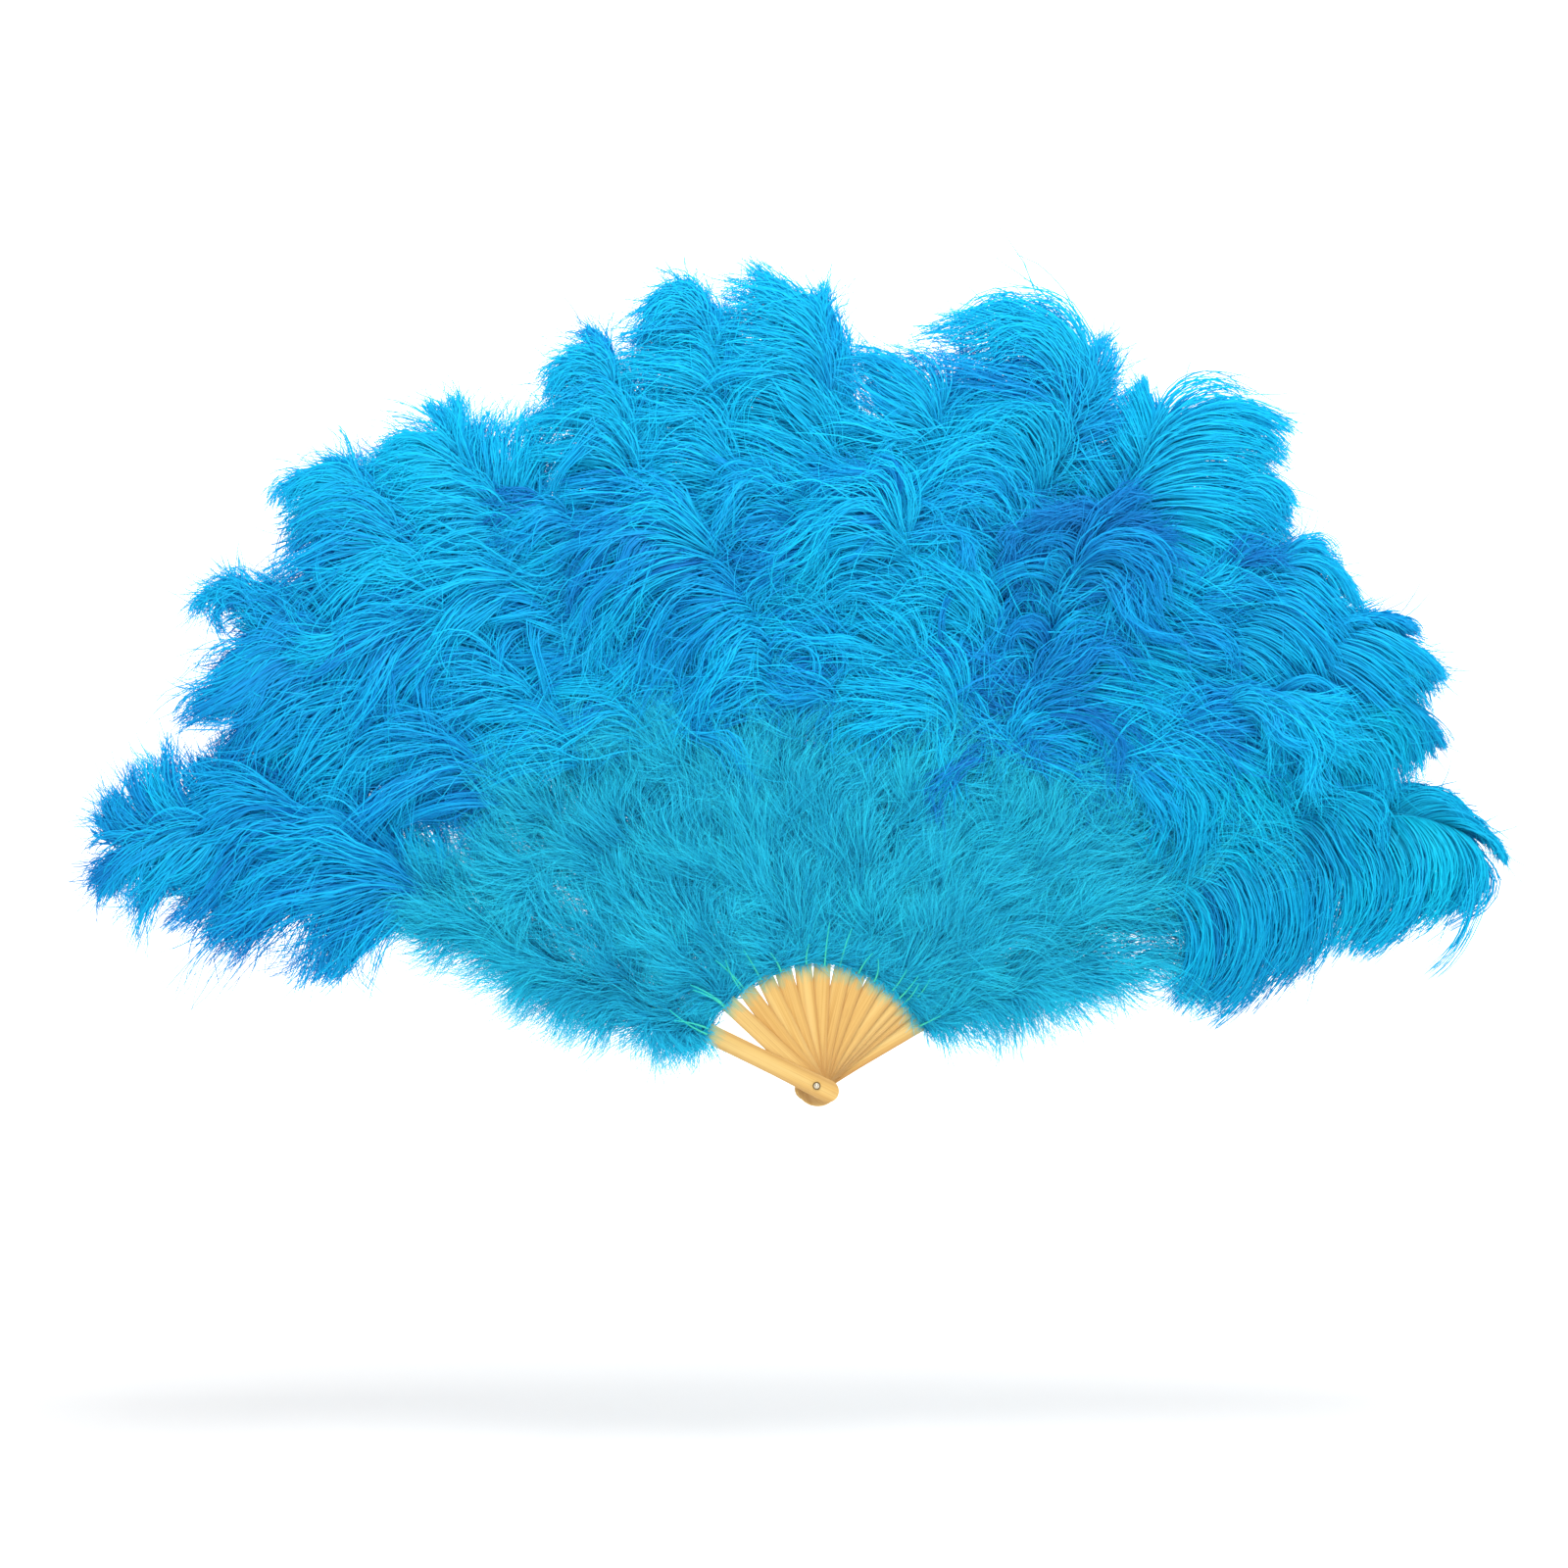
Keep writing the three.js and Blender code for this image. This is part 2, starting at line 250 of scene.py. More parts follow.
def bamboo_material(index):
    """Bamboo split along the stick: fine fibres that follow it, slow tone bands, a greenish dye stain near the feathers."""
    m = Nodes(f"bamboo_{index}")
    uv = m.add("ShaderNodeUVMap", uv_map="stick").outputs[0]
    sep = m.add("ShaderNodeSeparateXYZ")
    m.link(uv, sep.inputs[0])
    along, across = sep.outputs[0], sep.outputs[1]

    def noise(sx, sy, detail, rough, seed):
        c = m.add("ShaderNodeCombineXYZ")
        m.link(m.maths("MULTIPLY", along, sx), c.inputs[0])
        m.link(m.maths("MULTIPLY", across, sy), c.inputs[1])
        c.inputs[2].default_value = seed
        n = m.add("ShaderNodeTexNoise")
        m.link(c.outputs[0], n.inputs["Vector"])
        m.put(n, Scale=1.0, Detail=detail, Roughness=rough)
        return n.outputs["Fac"]

    fibre = noise(9, 900, 3, 0.6, index * 3.7)
    band = noise(4, 90, 2, 0.5, index * 5.3 + 9)
    blotch = noise(22, 60, 3, 0.55, index * 2.1 + 31)
    shift = ((index * 37) % 11) / 11
    light = srgb(232, 196 - 6 * shift, 120 - 10 * shift)
    mid = srgb(225 - 8 * shift, 180 - 10 * shift, 98 - 8 * shift)
    dark = srgb(188, 128, 52)
    tone = m.ramp(band, [(0.25, srgb(214 - 6 * shift, 162 - 8 * shift, 80)), (0.42, mid), (0.55, light), (0.8, srgb(238, 204, 134))])
    lines = m.ramp(fibre, [(0.3, dark), (0.46, mid), (0.6, light)])
    colour = m.mix(0.45, tone, lines)
    # the long edges of the blade are painted darker: painted shade for the gaps between neighbouring blades
    off = m.maths("ABSOLUTE", m.maths("SUBTRACT", across, 0.02))
    edge = m.ramp(off, [(0.0, (0, 0, 0, 1)), (0.0070, (0, 0, 0, 1)), (0.0077, (1, 1, 1, 1))])
    colour = m.mix(m.maths("MULTIPLY", edge, 0.42), colour, srgb(168, 108, 44))
    # dye stain near the end of the blade
    stain_n = noise(60, 260, 4, 0.7, index * 1.3 + 17)
    reach = m.maths("MULTIPLY", m.maths("SUBTRACT", along, 0.090), 1 / 0.015)
    wet = m.maths("ADD", reach, m.maths("MULTIPLY", m.maths("SUBTRACT", stain_n, 0.55), 2.4))
    clamp = m.add("ShaderNodeClamp")
    m.link(wet, clamp.inputs[0])
    strength = m.maths("MULTIPLY", clamp.outputs[0], 0.72)
    colour = m.mix(strength, colour, srgb(104, 186, 160))
    # handling wear and dirt by the head
    grime = m.maths("MULTIPLY", m.maths("GREATER_THAN", blotch, 0.68), 0.10)
    colour = m.mix(grime, colour, srgb(190, 128, 62))
    m.link(colour, m.bsdf.inputs["Base Color"])
    m.link(m.ramp(fibre, [(0.3, (0.52, 0.52, 0.52, 1)), (0.65, (0.34, 0.34, 0.34, 1))]), m.bsdf.inputs["Roughness"])
    m.bsdf.inputs["Coat Weight"].default_value = 0.18
    m.bsdf.inputs["Coat Roughness"].default_value = 0.25
    bump = m.add("ShaderNodeBump")
    m.link(fibre, bump.inputs["Height"])
    m.put(bump, Strength=0.35, Distance=0.0004)
    m.link(bump.outputs[0], m.bsdf.inputs["Normal"])
    return m.mat


def metal_material(name, low, mid, high):
    m = Nodes(name)
    geo = m.add("ShaderNodeTexCoord").outputs["Object"]
    n = m.add("ShaderNodeTexNoise")
    m.link(geo, n.inputs["Vector"])
    m.put(n, Scale=900.0, Detail=4.0, Roughness=0.65)
    m.link(m.ramp(n.outputs["Fac"], [(0.3, low), (0.55, mid), (0.75, high)]), m.bsdf.inputs["Base Color"])
    m.link(m.ramp(n.outputs["Fac"], [(0.3, (0.45, 0.45, 0.45, 1)), (0.7, (0.22, 0.22, 0.22, 1))]), m.bsdf.inputs["Roughness"])
    m.bsdf.inputs["Metallic"].default_value = 1.0
    bump = m.add("ShaderNodeBump")
    m.link(n.outputs["Fac"], bump.inputs["Height"])
    m.put(bump, Strength=0.2, Distance=0.0001)
    m.link(bump.outputs[0], m.bsdf.inputs["Normal"])
    return m.mat


METAL = metal_material("rivet_bright", srgb(206, 190, 160), srgb(240, 230, 208), srgb(250, 246, 236))
TARNISHED = metal_material("washer_tarnished", srgb(92, 74, 44), srgb(132, 112, 74), srgb(160, 140, 100))


# ---------------------------------------------------------------- mesh making
def mesh_object(name, verts, quads, tris=None, uv=None, uv_name="OFBake", mats=(), index=None, flat=False):
    """quads (n,4) and tris (m,3) of vertex numbers; uv has one row per corner, quads first."""
    me = bpy.data.meshes.new(name)
    quads = np.asarray(quads, np.int32).reshape(-1, 4)
    tris = np.zeros((0, 3), np.int32) if tris is None else np.asarray(tris, np.int32).reshape(-1, 3)
    loops = np.concatenate([quads.ravel(), tris.ravel()])
    starts = np.concatenate([np.arange(len(quads)) * 4, len(quads) * 4 + np.arange(len(tris)) * 3])
    me.vertices.add(len(verts))
    me.vertices.foreach_set("co", np.ascontiguousarray(verts, np.float32).ravel())
    me.loops.add(len(loops))
    me.loops.foreach_set("vertex_index", loops.astype(np.int32))
    me.polygons.add(len(starts))
    me.polygons.foreach_set("loop_start", starts.astype(np.int32))
    if not flat:
        me.polygons.foreach_set("use_smooth", np.ones(len(starts), bool))
    for m in mats:
        me.materials.append(m)
    if index is not None:
        me.polygons.foreach_set("material_index", np.asarray(index, np.int32))
    if uv is not None:
        layer = me.uv_layers.new(name=uv_name)
        layer.data.foreach_set("uv", np.ascontiguousarray(uv, np.float32).ravel())
    me.update(calc_edges=True)
    me.validate()
    ob = bpy.data.objects.new(name, me)
    scene.collection.objects.link(ob)
    return ob


def unit(v):
    return v / np.maximum(np.linalg.norm(v, axis=-1, keepdims=True), 1e-9)


class Strands:
    """Collects ribbons and tubes, each a path of points, into one mesh."""

    def __init__(self):
        self.v, self.q, self.uv, self.mi, self.n = [], [], [], [], 0

    def ribbons(self, paths, width, tone, facing, material=0, taper=0.85, v_from=0.0, v_to=1.0):
        """paths (N, n, 3) in metres; width (N,); tone (N,) 0..1; facing (N, 3) is the way the flat side looks."""
        N, n, _ = paths.shape
        tang = unit(np.gradient(paths, axis=1))
        side = unit(np.cross(tang, facing[:, None, :]))
        u = np.linspace(0, 1, n)
        w = width[:, None] * (1 - taper * u[None, :] ** 1.6) * 0.5
        a = paths - side * w[..., None]
        b = paths + side * w[..., None]
        verts = np.stack([a, b], 2).reshape(-1, 3)  # strand, step, side
        base = self.n + (np.arange(N) * n * 2)[:, None] + (np.arange(n - 1) * 2)[None, :]
        quads = np.stack([base, base + 1, base + 3, base + 2], -1).reshape(-1, 4)
        d = 0.004
        tu = 0.02 + 0.96 * np.clip(tone, 0, 1)
        vv = 0.02 + 0.96 * (v_from + (v_to - v_from) * u)
        left = np.broadcast_to((tu - d)[:, None], (N, n - 1))
        right = np.broadcast_to((tu + d)[:, None], (N, n - 1))
        v0 = np.broadcast_to(vv[None, :-1], (N, n - 1))
        v1 = np.broadcast_to(vv[None, 1:], (N, n - 1))
        uv = np.stack([np.stack([left, v0], -1), np.stack([right, v0], -1), np.stack([right, v1], -1), np.stack([left, v1], -1)], 2)
        self.v.append(verts)
        self.q.append(quads)
        self.uv.append(uv.reshape(-1, 2))
        self.mi.append(np.full(len(quads), material))
        self.n += len(verts)

    def tube(self, path, radius, material, sides=6, tone=0.6, flat=1.0, v_from=0.0, v_to=1.0):
        """A tube along path (n, 3) with radius (n,), left open at its ends."""
        path = np.asarray(path)
        n = len(path)
        tang = unit(np.gradient(path, axis=0))
        out = np.array([0.0, -1.0, 0.0])
        s1 = unit(np.cross(tang, out))
        s2 = unit(np.cross(s1, tang))
        ang = np.arange(sides) * 2 * math.pi / sides
        ring = np.cos(ang)[None, :, None] * s1[:, None, :] + flat * np.sin(ang)[None, :, None] * s2[:, None, :]
        verts = path[:, None, :] + ring * np.asarray(radius)[:, None, None]
        idx = self.n + np.arange(n * sides).reshape(n, sides)
        nxt = np.roll(idx, -1, axis=1)
        quads = np.stack([idx[:-1], nxt[:-1], nxt[1:], idx[1:]], -1).reshape(-1, 4)
        v = 0.02 + 0.96 * (v_from + (v_to - v_from) * np.linspace(0, 1, n))
        uu = 0.02 + 0.96 * (tone + 0.06 * np.arange(sides + 1) / sides - 0.03)
        v0, v1 = v[:-1, None], v[1:, None]
        u0, u1 = uu[None, :-1], uu[None, 1:]
        shape = (n - 1, sides)
        uv = np.stack([np.stack([np.broadcast_to(x, shape), np.broadcast_to(y, shape)], -1) for x, y in ((u0, v0), (u1, v0), (u1, v1), (u0, v1))], 2)
        self.v.append(verts.reshape(-1, 3))
        self.q.append(quads)
        self.uv.append(uv.reshape(-1, 2))
        self.mi.append(np.full(len(quads), material))
        self.n += n * sides

    def build(self, name, mats):
        v = np.concatenate(self.v)
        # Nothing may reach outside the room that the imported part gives.
        soft = 0.012
        for axis in range(3):
            lo, hi = BOX_LOW[axis], BOX_HIGH[axis]
            x = v[:, axis]
            over = x > hi - soft
            x[over] = hi - soft * np.exp(-(x[over] - hi + soft) / soft)
            under = x < lo + soft
            x[under] = lo + soft * np.exp(-(lo + soft - x[under]) / soft)
        return mesh_object(name, v, np.concatenate(self.q), uv=np.concatenate(self.uv), mats=mats, index=np.concatenate(self.mi))


# ---------------------------------------------------------------- ostrich plumes
def rachis(k, spec, side, start=322.0, cut=0.92, bow=10.0, sink=0.0):
    """The plume's shaft: points with depth, in-plane tangents and left normals, in mm."""
    th = math.radians(ANGLES[k])
    e = np.array([math.cos(th), math.sin(th)])
    l = np.array([-math.sin(th), math.cos(th)])
    p0 = e * VANE_START + l * side * 1.5
    bend, tip = np.array(spec[0:2], float), np.array(spec[2:4], float)
    tip = tip - np.array([0, sink])
    line = np.linspace(min(start, VANE_START - 4), VANE_START, 12)[:-1, None] * e + l * side * 1.5
    t = np.linspace(0, cut, 80)[:, None]
    curve = p0 * (1 - t) ** 2 + bend * 2 * t * (1 - t) + tip * t * t
    pts = np.concatenate([line, curve])
    seg = np.linalg.norm(np.diff(pts, axis=0), axis=1)
    at = np.concatenate([[0], np.cumsum(seg)])
    s = np.linspace(0, at[-1], 140)
    pts = np.stack([np.interp(s, at, pts[:, i]) for i in (0, 1)], 1)
    tan = unit(np.gradient(pts, axis=0))
    y = layer_y(k, np.hypot(pts[:, 0], pts[:, 1])) + (1.0 if side > 0 else -1.0)
    y = y - bow * smooth(0.35, 1.0, np.linspace(0, 1, 140)) ** 1.4
    return np.stack([pts[:, 0], y, pts[:, 1]], 1), tan, np.stack([-tan[:, 1], tan[:, 0]], 1)


def along_line(table, s):
    x = np.clip(s, 0, 1) * (len(table) - 1)
    return np.stack([np.interp(x, np.arange(len(table)), table[:, i]) for i in range(table.shape[1])], -1)


def slow_noise(rng, n, every):
    """A smooth run of n numbers that changes about once every so many."""
    m = max(int(n / every) + 3, 4)
    return np.interp(np.linspace(0, m - 1, n), np.arange(m), rng.normal(0, 1, m))


def wave_field(rng, sizes=(150, 90, 55), parts=5):
    """A smooth swirl over the plane: neighbouring barbs meet the same waves."""
    k = np.concatenate([rng.normal(0, 1, (parts, 2)) * (2 * math.pi / w) * 0.7 for w in sizes])
    a = np.concatenate([np.full(parts, 1.0 / math.sqrt(parts)) * g for g in (0.8, 0.7, 0.5)[: len(sizes)]])
    ph = rng.uniform(0, 2 * math.pi, len(k))
    return lambda x, z: (np.sin(x[:, None] * k[None, :, 0] + z[:, None] * k[None, :, 1] + ph) * a).sum(1)


def plume_strands(rng, base3, tan, flow, count, locks, steps=10, lift=0.5, curl=0.6, fringe=0.5, tone=0.66, cover=0.3, skip=(0, 0), wavy=0.30, blunt=0.26, mess=0.0, rough=1.0, root=0.0):
    """Barbs on both sides of a shaft. flow: which side faces the viewer (1 left, -1 right, 0 both),
    the ways in degrees that the left and right barbs turn to, and their lengths."""
    face, ends, lengths = flow[0], flow[1:3], flow[3:5]
    paths, tones = [], []
    tan_ang = np.unwrap(np.arctan2(tan[:, 1], tan[:, 0]))
    grid = np.linspace(0, 1, 240)
    u = np.linspace(0, 1, steps + 1)
    swirl, patch = wave_field(rng), wave_field(rng, (170, 100))
    for way, end, long_, bare in ((1, ends[0], lengths[0], skip[0]), (-1, ends[1], lengths[1], skip[1])):
        main = way == face
        N = int(count * (1.12 if main else 0.88))
        lock_s = np.sort(np.concatenate([[0, 1], rng.random(locks)]))
        s = bare + (1 - bare) * rng.random(N) ** 0.96
        tipward = rng.random(N) < 0.10
        s = np.where(tipward, 1 - 0.10 * rng.random(N) ** 2, s)
        own = np.abs(s[:, None] - lock_s[None, :]).argmin(1)
        field = lambda every: np.interp(s, grid, slow_noise(rng, 240, 240 / every))
        per_lock = lambda: rng.normal(0, 1, len(lock_s))[own]
        A_t = np.interp(s, np.linspace(0, 1, len(tan_ang)), tan_ang)
        tip = smooth(0.74, 1.0, s)
        spread = np.radians((46 if main else 60) - (26 if main else 30) * tip) + 0.14 * rough * field(7) + 0.26 * mess * per_lock() + rng.normal(0, 0.09 * rough, N)
        cross = rng.random(N) < (cover if face == 0 or main else 0.3 * cover)
        spread = np.where(cross, rng.uniform(-0.8 if main else -0.4, 0.5, N), spread)
        A0 = A_t + way * spread
        mid = A_t + way * 0.9
        A1 = np.full(N, math.radians(end))
        A1 = mid + (A1 - mid + math.pi) % (2 * math.pi) - math.pi
        A1 = A1 + 0.22 * rough * field(5) + (0.12 * rough + 0.36 * mess) * per_lock() + rng.normal(0, 0.08 * rough, N)
        if face == 0:
            A1 = A0 + (A1 - A0) * (1 - tip * rng.uniform(0.0, 0.7, N))
        prof = (0.66 + 0.34 * smooth(0, 0.3, s)) * (1 - (blunt if main else 0.40) * tip)
        if main:
            prof = prof * (1 + root * (1 - smooth(0.05, 0.6, s)))
        else:
            prof = prof * (1 + 0.55 * (1 - smooth(0.0, 0.55, s)))
        L = long_ * prof * (1 + 0.06 * rough * field(6) + (0.07 * rough + 0.12 * mess) * per_lock()) * rng.uniform(0.66, 1.0, N) ** 0.55 * np.where(cross, 0.9, 1)
        E0 = lift * ((0.85 if main or face == 0 else 0.35) + 0.18 * field(9) + 0.30 * mess * per_lock() + rng.normal(0, 0.28, N)) + np.where(cross, 0.25, 0)
        hook = curl * (0.8 * per_lock() + 0.4 * rng.normal(0, 1, N)) * (0.45 + 0.8 * tip)
        sway = rough * (0.12 * per_lock() + 0.06 * rng.normal(0, 1, N)) + 0.2 * mess * per_lock()
        beat = rng.uniform(4.5, 7.0, N)
        P = along_line(base3, s)
        path = [P.copy()]
        stray = np.where(rng.random(N) < 0.09, rng.normal(0, 0.45 * rough, N), 0.0)
        shade = 0.16 * patch(P[:, 0], P[:, 2])
        for j in range(steps):
            x = (j + 0.5) / steps
            turn = wavy * (0.35 + 0.65 * x) * swirl(P[:, 0], P[:, 2])
            A = A0 + (A1 - A0) * min(1.0, 1.08 * x) ** 1.1 + hook * max(0.0, x - 0.76) * 3.0 + sway * np.sin(beat * x) + turn + stray * x
            E = E0 * (1 - 1.85 * x) + 0.5 * turn * math.cos(3 * x)
            d = np.stack([np.cos(A) * np.cos(E), -np.sin(E), np.sin(A) * np.cos(E)], 1)
            P = P + d * (L / steps)[:, None]
            path.append(P.copy())
        path = np.stack(path, 1)
        pull = along_line(base3, lock_s[own]) - along_line(base3, s)
        pull = np.clip(pull, -14, 14)
        hold = (fringe * rng.uniform(0.0, 1.5, len(lock_s)))[own][:, None] * smooth(0.40, 1.0, u)[None, :]
        path = path + pull[:, None, :] * np.clip(hold, 0, 0.92)[..., None]
        off = rng.normal(0, 1, (N, 1, 3)) * np.array([2.0 * rough, 4.0, 2.0 * rough])
        loose = np.where(rng.random(N) < 0.08, rng.uniform(1.5, 4.0, N), 1.0)[:, None, None]
        path = path + off * loose * (0.04 + 0.96 * u[None, :, None] ** 1.1)
        ph = rng.uniform(0, 6.28, (N, 1)) + u[None, :] * rng.uniform(2.5, 8, (N, 1))
        amp = rng.uniform(0.2, 1.8, (N, 1)) * np.where(rng.random((N, 1)) < 0.25, 2.0, 1.0) * u[None, :]
        path[..., 0] += np.sin(ph) * amp
        path[..., 2] += np.cos(ph * 1.2) * amp
        paths.append(path)
        # a strand's tone rises with how far it stands out towards the front (E0) and follows slow patches (shade):
        # painted light and painted shade, the low tones being a deeper blue; the lock and strand terms are random tone
        tones.append(tone + 0.30 * (E0 - lift * 0.75) + 0.04 * field(8) + (0.08 + 0.12 * mess) * per_lock() + shade + rng.normal(0, 0.07, N))
    return np.concatenate(paths), np.clip(np.concatenate(tones), 0.02, 0.86)


def plume_wisps(rng, base3, tan, flow, wisps, size, lift=0.8, tone=0.6, astray=0.5, near=0.12, steps=10, way_out=None, reach=1.0):
    """Loose pointed locks that stand off the plume and cross each other."""
    face, ends, lengths = flow[0], flow[1:3], flow[3:5]
    tan_ang = np.unwrap(np.arctan2(tan[:, 1], tan[:, 0]))
    own = np.repeat(np.arange(wisps), rng.integers(int(size * 0.6), int(size * 1.5), wisps))
    N = len(own)
    one = lambda values: np.asarray(values)[own]
    way = one(np.where(rng.random(wisps) < 0.74, face if face else 1, -face if face else -1))
    s = np.clip(one(rng.uniform(near, 1.0, wisps)) + rng.normal(0, 0.028, N), 0, 1)
    A_t = np.interp(s, np.linspace(0, 1, len(tan_ang)), tan_ang)
    A0 = A_t + way * one(rng.uniform(0.2, 1.0, wisps)) + rng.normal(0, 0.13, N)
    mid = A_t + way * 0.9
    A1 = np.radians(np.where(way > 0, ends[0], ends[1]) if way_out is None else np.full(N, way_out))
    A1 = mid + (A1 - mid + math.pi) % (2 * math.pi) - math.pi + one(rng.normal(0, astray, wisps)) + rng.normal(0, 0.07, N)
    L = np.where(way > 0, lengths[0], lengths[1]) * one(rng.uniform(0.6, 1.05, wisps)) * rng.uniform(0.72, 1.0, N) * reach
    E0 = lift * one(rng.uniform(0.5, 1.25, wisps)) + rng.normal(0, 0.10, N)
    bend, beat, start = one(rng.normal(0, 0.40, wisps)), one(rng.uniform(3.5, 6.5, wisps)), one(rng.uniform(-1, 1, wisps))
    P = along_line(base3, s)
    path = [P.copy()]
    for j in range(steps):
        x = (j + 0.5) / steps
        A = A0 + (A1 - A0) * x ** 1.1 + bend * (np.sin(beat * x + start) - np.sin(start))
        E = E0 * (1 - 1.7 * x)
        P = P + np.stack([np.cos(A) * np.cos(E), -np.sin(E), np.sin(A) * np.cos(E)], 1) * (L / steps)[:, None]
        path.append(P.copy())
    path = np.stack(path, 1)
    u = np.linspace(0, 1, steps + 1)
    many = np.bincount(own, minlength=wisps)
    mean = np.stack([np.bincount(own, path[:, i, c], minlength=wisps) / many for i in range(steps + 1) for c in range(3)], 1).reshape(wisps, steps + 1, 3)
    hold = 0.64 * smooth(0.05, 0.75, u) - 0.06 * smooth(0.8, 1.0, u)
    path = path + (mean[own] - path) * hold[None, :, None]
    path += rng.normal(0, 1, (N, 1, 3)) * np.array([2.4, 2.6, 2.4]) * u[None, :, None]
    return path, np.clip(tone + one(rng.normal(0.02, 0.14, wisps)) + rng.normal(0, 0.06, N), 0.02, 0.86)


def plume_backing(rng, base3, tan, flow, N, share=0.68, steps=6, tone=0.42):
    """Straighter barbs behind the curled ones, which close the plume; they are given a darker tone, as painted shade.
    """
    ends, lengths = flow[1:3], flow[3:5]
    tan_ang = np.unwrap(np.arctan2(tan[:, 1], tan[:, 0]))
    s = rng.random(N) ** 0.9
    A_t = np.interp(s, np.linspace(0, 1, len(tan_ang)), tan_ang)
    way = np.where(rng.random(N) < 0.5, 1, -1)
    tip = smooth(0.78, 1.0, s)
    A0 = A_t + way * rng.uniform(0.25, 1.05, N) * (1 - 0.55 * tip)
    mid = A_t + way * 0.9
    A1 = np.radians(np.where(way > 0, ends[0], ends[1]))
    A1 = mid + (A1 - mid + math.pi) % (2 * math.pi) - math.pi
    bend = (A1 - A0) * rng.uniform(0.3, 0.9, N)
    L = share * np.where(way > 0, lengths[0], lengths[1]) * rng.uniform(0.6, 1.05, N) * (1 - 0.35 * tip)
    E0 = rng.normal(-0.06, 0.12, N)
    P = along_line(base3, s) + np.array([0, 1.5, 0])
    path = [P.copy()]
    for j in range(steps):
        x = (j + 0.5) / steps
        A = A0 + bend * x
        E = E0 * (1 - x)
        P = P + np.stack([np.cos(A) * np.cos(E), -np.sin(E), np.sin(A) * np.cos(E)], 1) * (L / steps)[:, None]
        path.append(P.copy())
    return np.stack(path, 1), tone + rng.normal(0, 0.08, N)


def plume_frizz(rng, paths, tones, N, steps=4):
    """Short fine hairs that fork off the barbs and blur the gaps between them."""
    own = rng.integers(0, len(paths), N)
    at = rng.uniform(0.30, 0.92, N) * (paths.shape[1] - 1)
    i = at.astype(int)
    a, b = paths[own, i], paths[own, i + 1]
    P = a + (b - a) * (at - i)[:, None]
    d = unit(b - a)
    A = np.arctan2(d[:, 2], d[:, 0]) + rng.normal(0, 0.5, N)
    bend = rng.normal(0, 0.5, N)
    E = np.arcsin(np.clip(-d[:, 1], -0.9, 0.9)) * 0.5 + rng.uniform(0.1, 0.6, N)
    L = rng.uniform(16, 44, N)
    path = [P.copy()]
    for j in range(steps):
        x = (j + 0.5) / steps
        Aj, Ej = A + bend * x, E * (1 - 1.5 * x)
        P = P + np.stack([np.cos(Aj) * np.cos(Ej), -np.sin(Ej), np.sin(Aj) * np.cos(Ej)], 1) * (L / steps)[:, None]
        path.append(P.copy())
    return np.stack(path, 1), np.clip(tones[own] + rng.normal(0.06, 0.08, N), 0.02, 0.86)


def facing_of(rng, n, spread=0.4):
    f = np.stack([rng.normal(0, spread, n), -np.ones(n), rng.normal(0, spread, n)], 1)
    return unit(f)


# facing side, where the left and right barbs turn to (degrees), their lengths and the shaft's side shift (mm)
LONG_FLOW = [
    (1, 230, 112, 106, 92, 0), (1, 232, 178, 154, 94, 0), (1, 234, 140, 178, 86, 6), (1, 204, 92, 136, 112, 4),
    (1, 208, 124, 114, 84, 10), (1, 196, 120, 114, 92, 16), (1, 192, 116, 140, 88, 11), (1, 186, 50, 128, 88, 4),
    (1, 206, 8, 182, 86, 12), (-1, 112, -42, 102, 158, -8), (-1, -8, -54, 92, 108, -10), (-1, -32, -56, 106, 136, -8),
    (-1, -38, -60, 98, 146, -6), (-1, -46, -84, 84, 118, -4), (-1, -64, 226, 98, 156, -12),
]
SHORT_FLOW = [
    None, (1, 230, 240, 112, 90, 0), (1, 226, 250, 118, 96, 0), (1, 218, 262, 122, 96, 6), (1, 222, 262, 124, 92, 10),
    (1, 228, 262, 124, 92, 14), (1, 232, 268, 122, 92, 16), (1, 226, 275, 124, 92, 14), (1, 224, 285, 124, 88, 14),
    (-1, 270, 312, 92, 122, -6), (-1, 285, 318, 88, 120, -8), (-1, 300, 304, 84, 120, -6), (-1, 318, 290, 84, 122, -4),
    None, None,
]


LONG_CUT = [0.82, 0.72, 0.73, 0.75, 0.86, 0.87, 0.775, 0.66, 0.765, 0.77, 0.69, 0.76, 0.80, 0.71, 0.83]
LONG_TONE = [0.36, 0.40, 0.48, 0.66, 0.64, 0.64, 0.74, 0.68, 0.76, 0.72, 0.66, 0.62, 0.58, 0.54, 0.50]
START = [366, 366, 350, 330, 322, 322, 322, 322, 322, 322, 340, 366, 376, 376, 340]
COVER = [0.10, 0.3, 0.4, 0.12, 0.4, 0.5, 0.5, 0.4, 0.5, 0.2, 0.2, 0.1, 0.0, 0.0, 0.0]
# the short plumes of the lower second row get lower tones than the long ones: painted shade under the long plumes' tips
SHORT_TONE = [0, 0.36, 0.42, 0.42, 0.54, 0.34, 0.36, 0.56, 0.42, 0.24, 0.34, 0.48, 0.44, 0, 0]
SHORT_SIZE = [0, 0.84, 0.86, 1.1, 0.82, 1.16, 0.84, 1.14, 0.9, 1.16, 0.84, 1.0, 0.72, 0, 0]
SHORT_BOW = [0, 4, 12, 8, 14, 30, 18, 34, 22, 40, 24, 30, 12, 0, 0]
SHORT_CUT = [0, 0.86, 0.93, 0.93, 0.93, 0.93, 0.93, 0.93, 0.93, 0.93, 0.93, 0.86, 0.80, 0, 0]


BLUNT = [0.46, 0.36, 0.42, 0.42, 0.34, 0.26, 0.12, 0.22, 0.08, 0.14, 0.26, 0.30, 0.34, 0.30, 0.40]
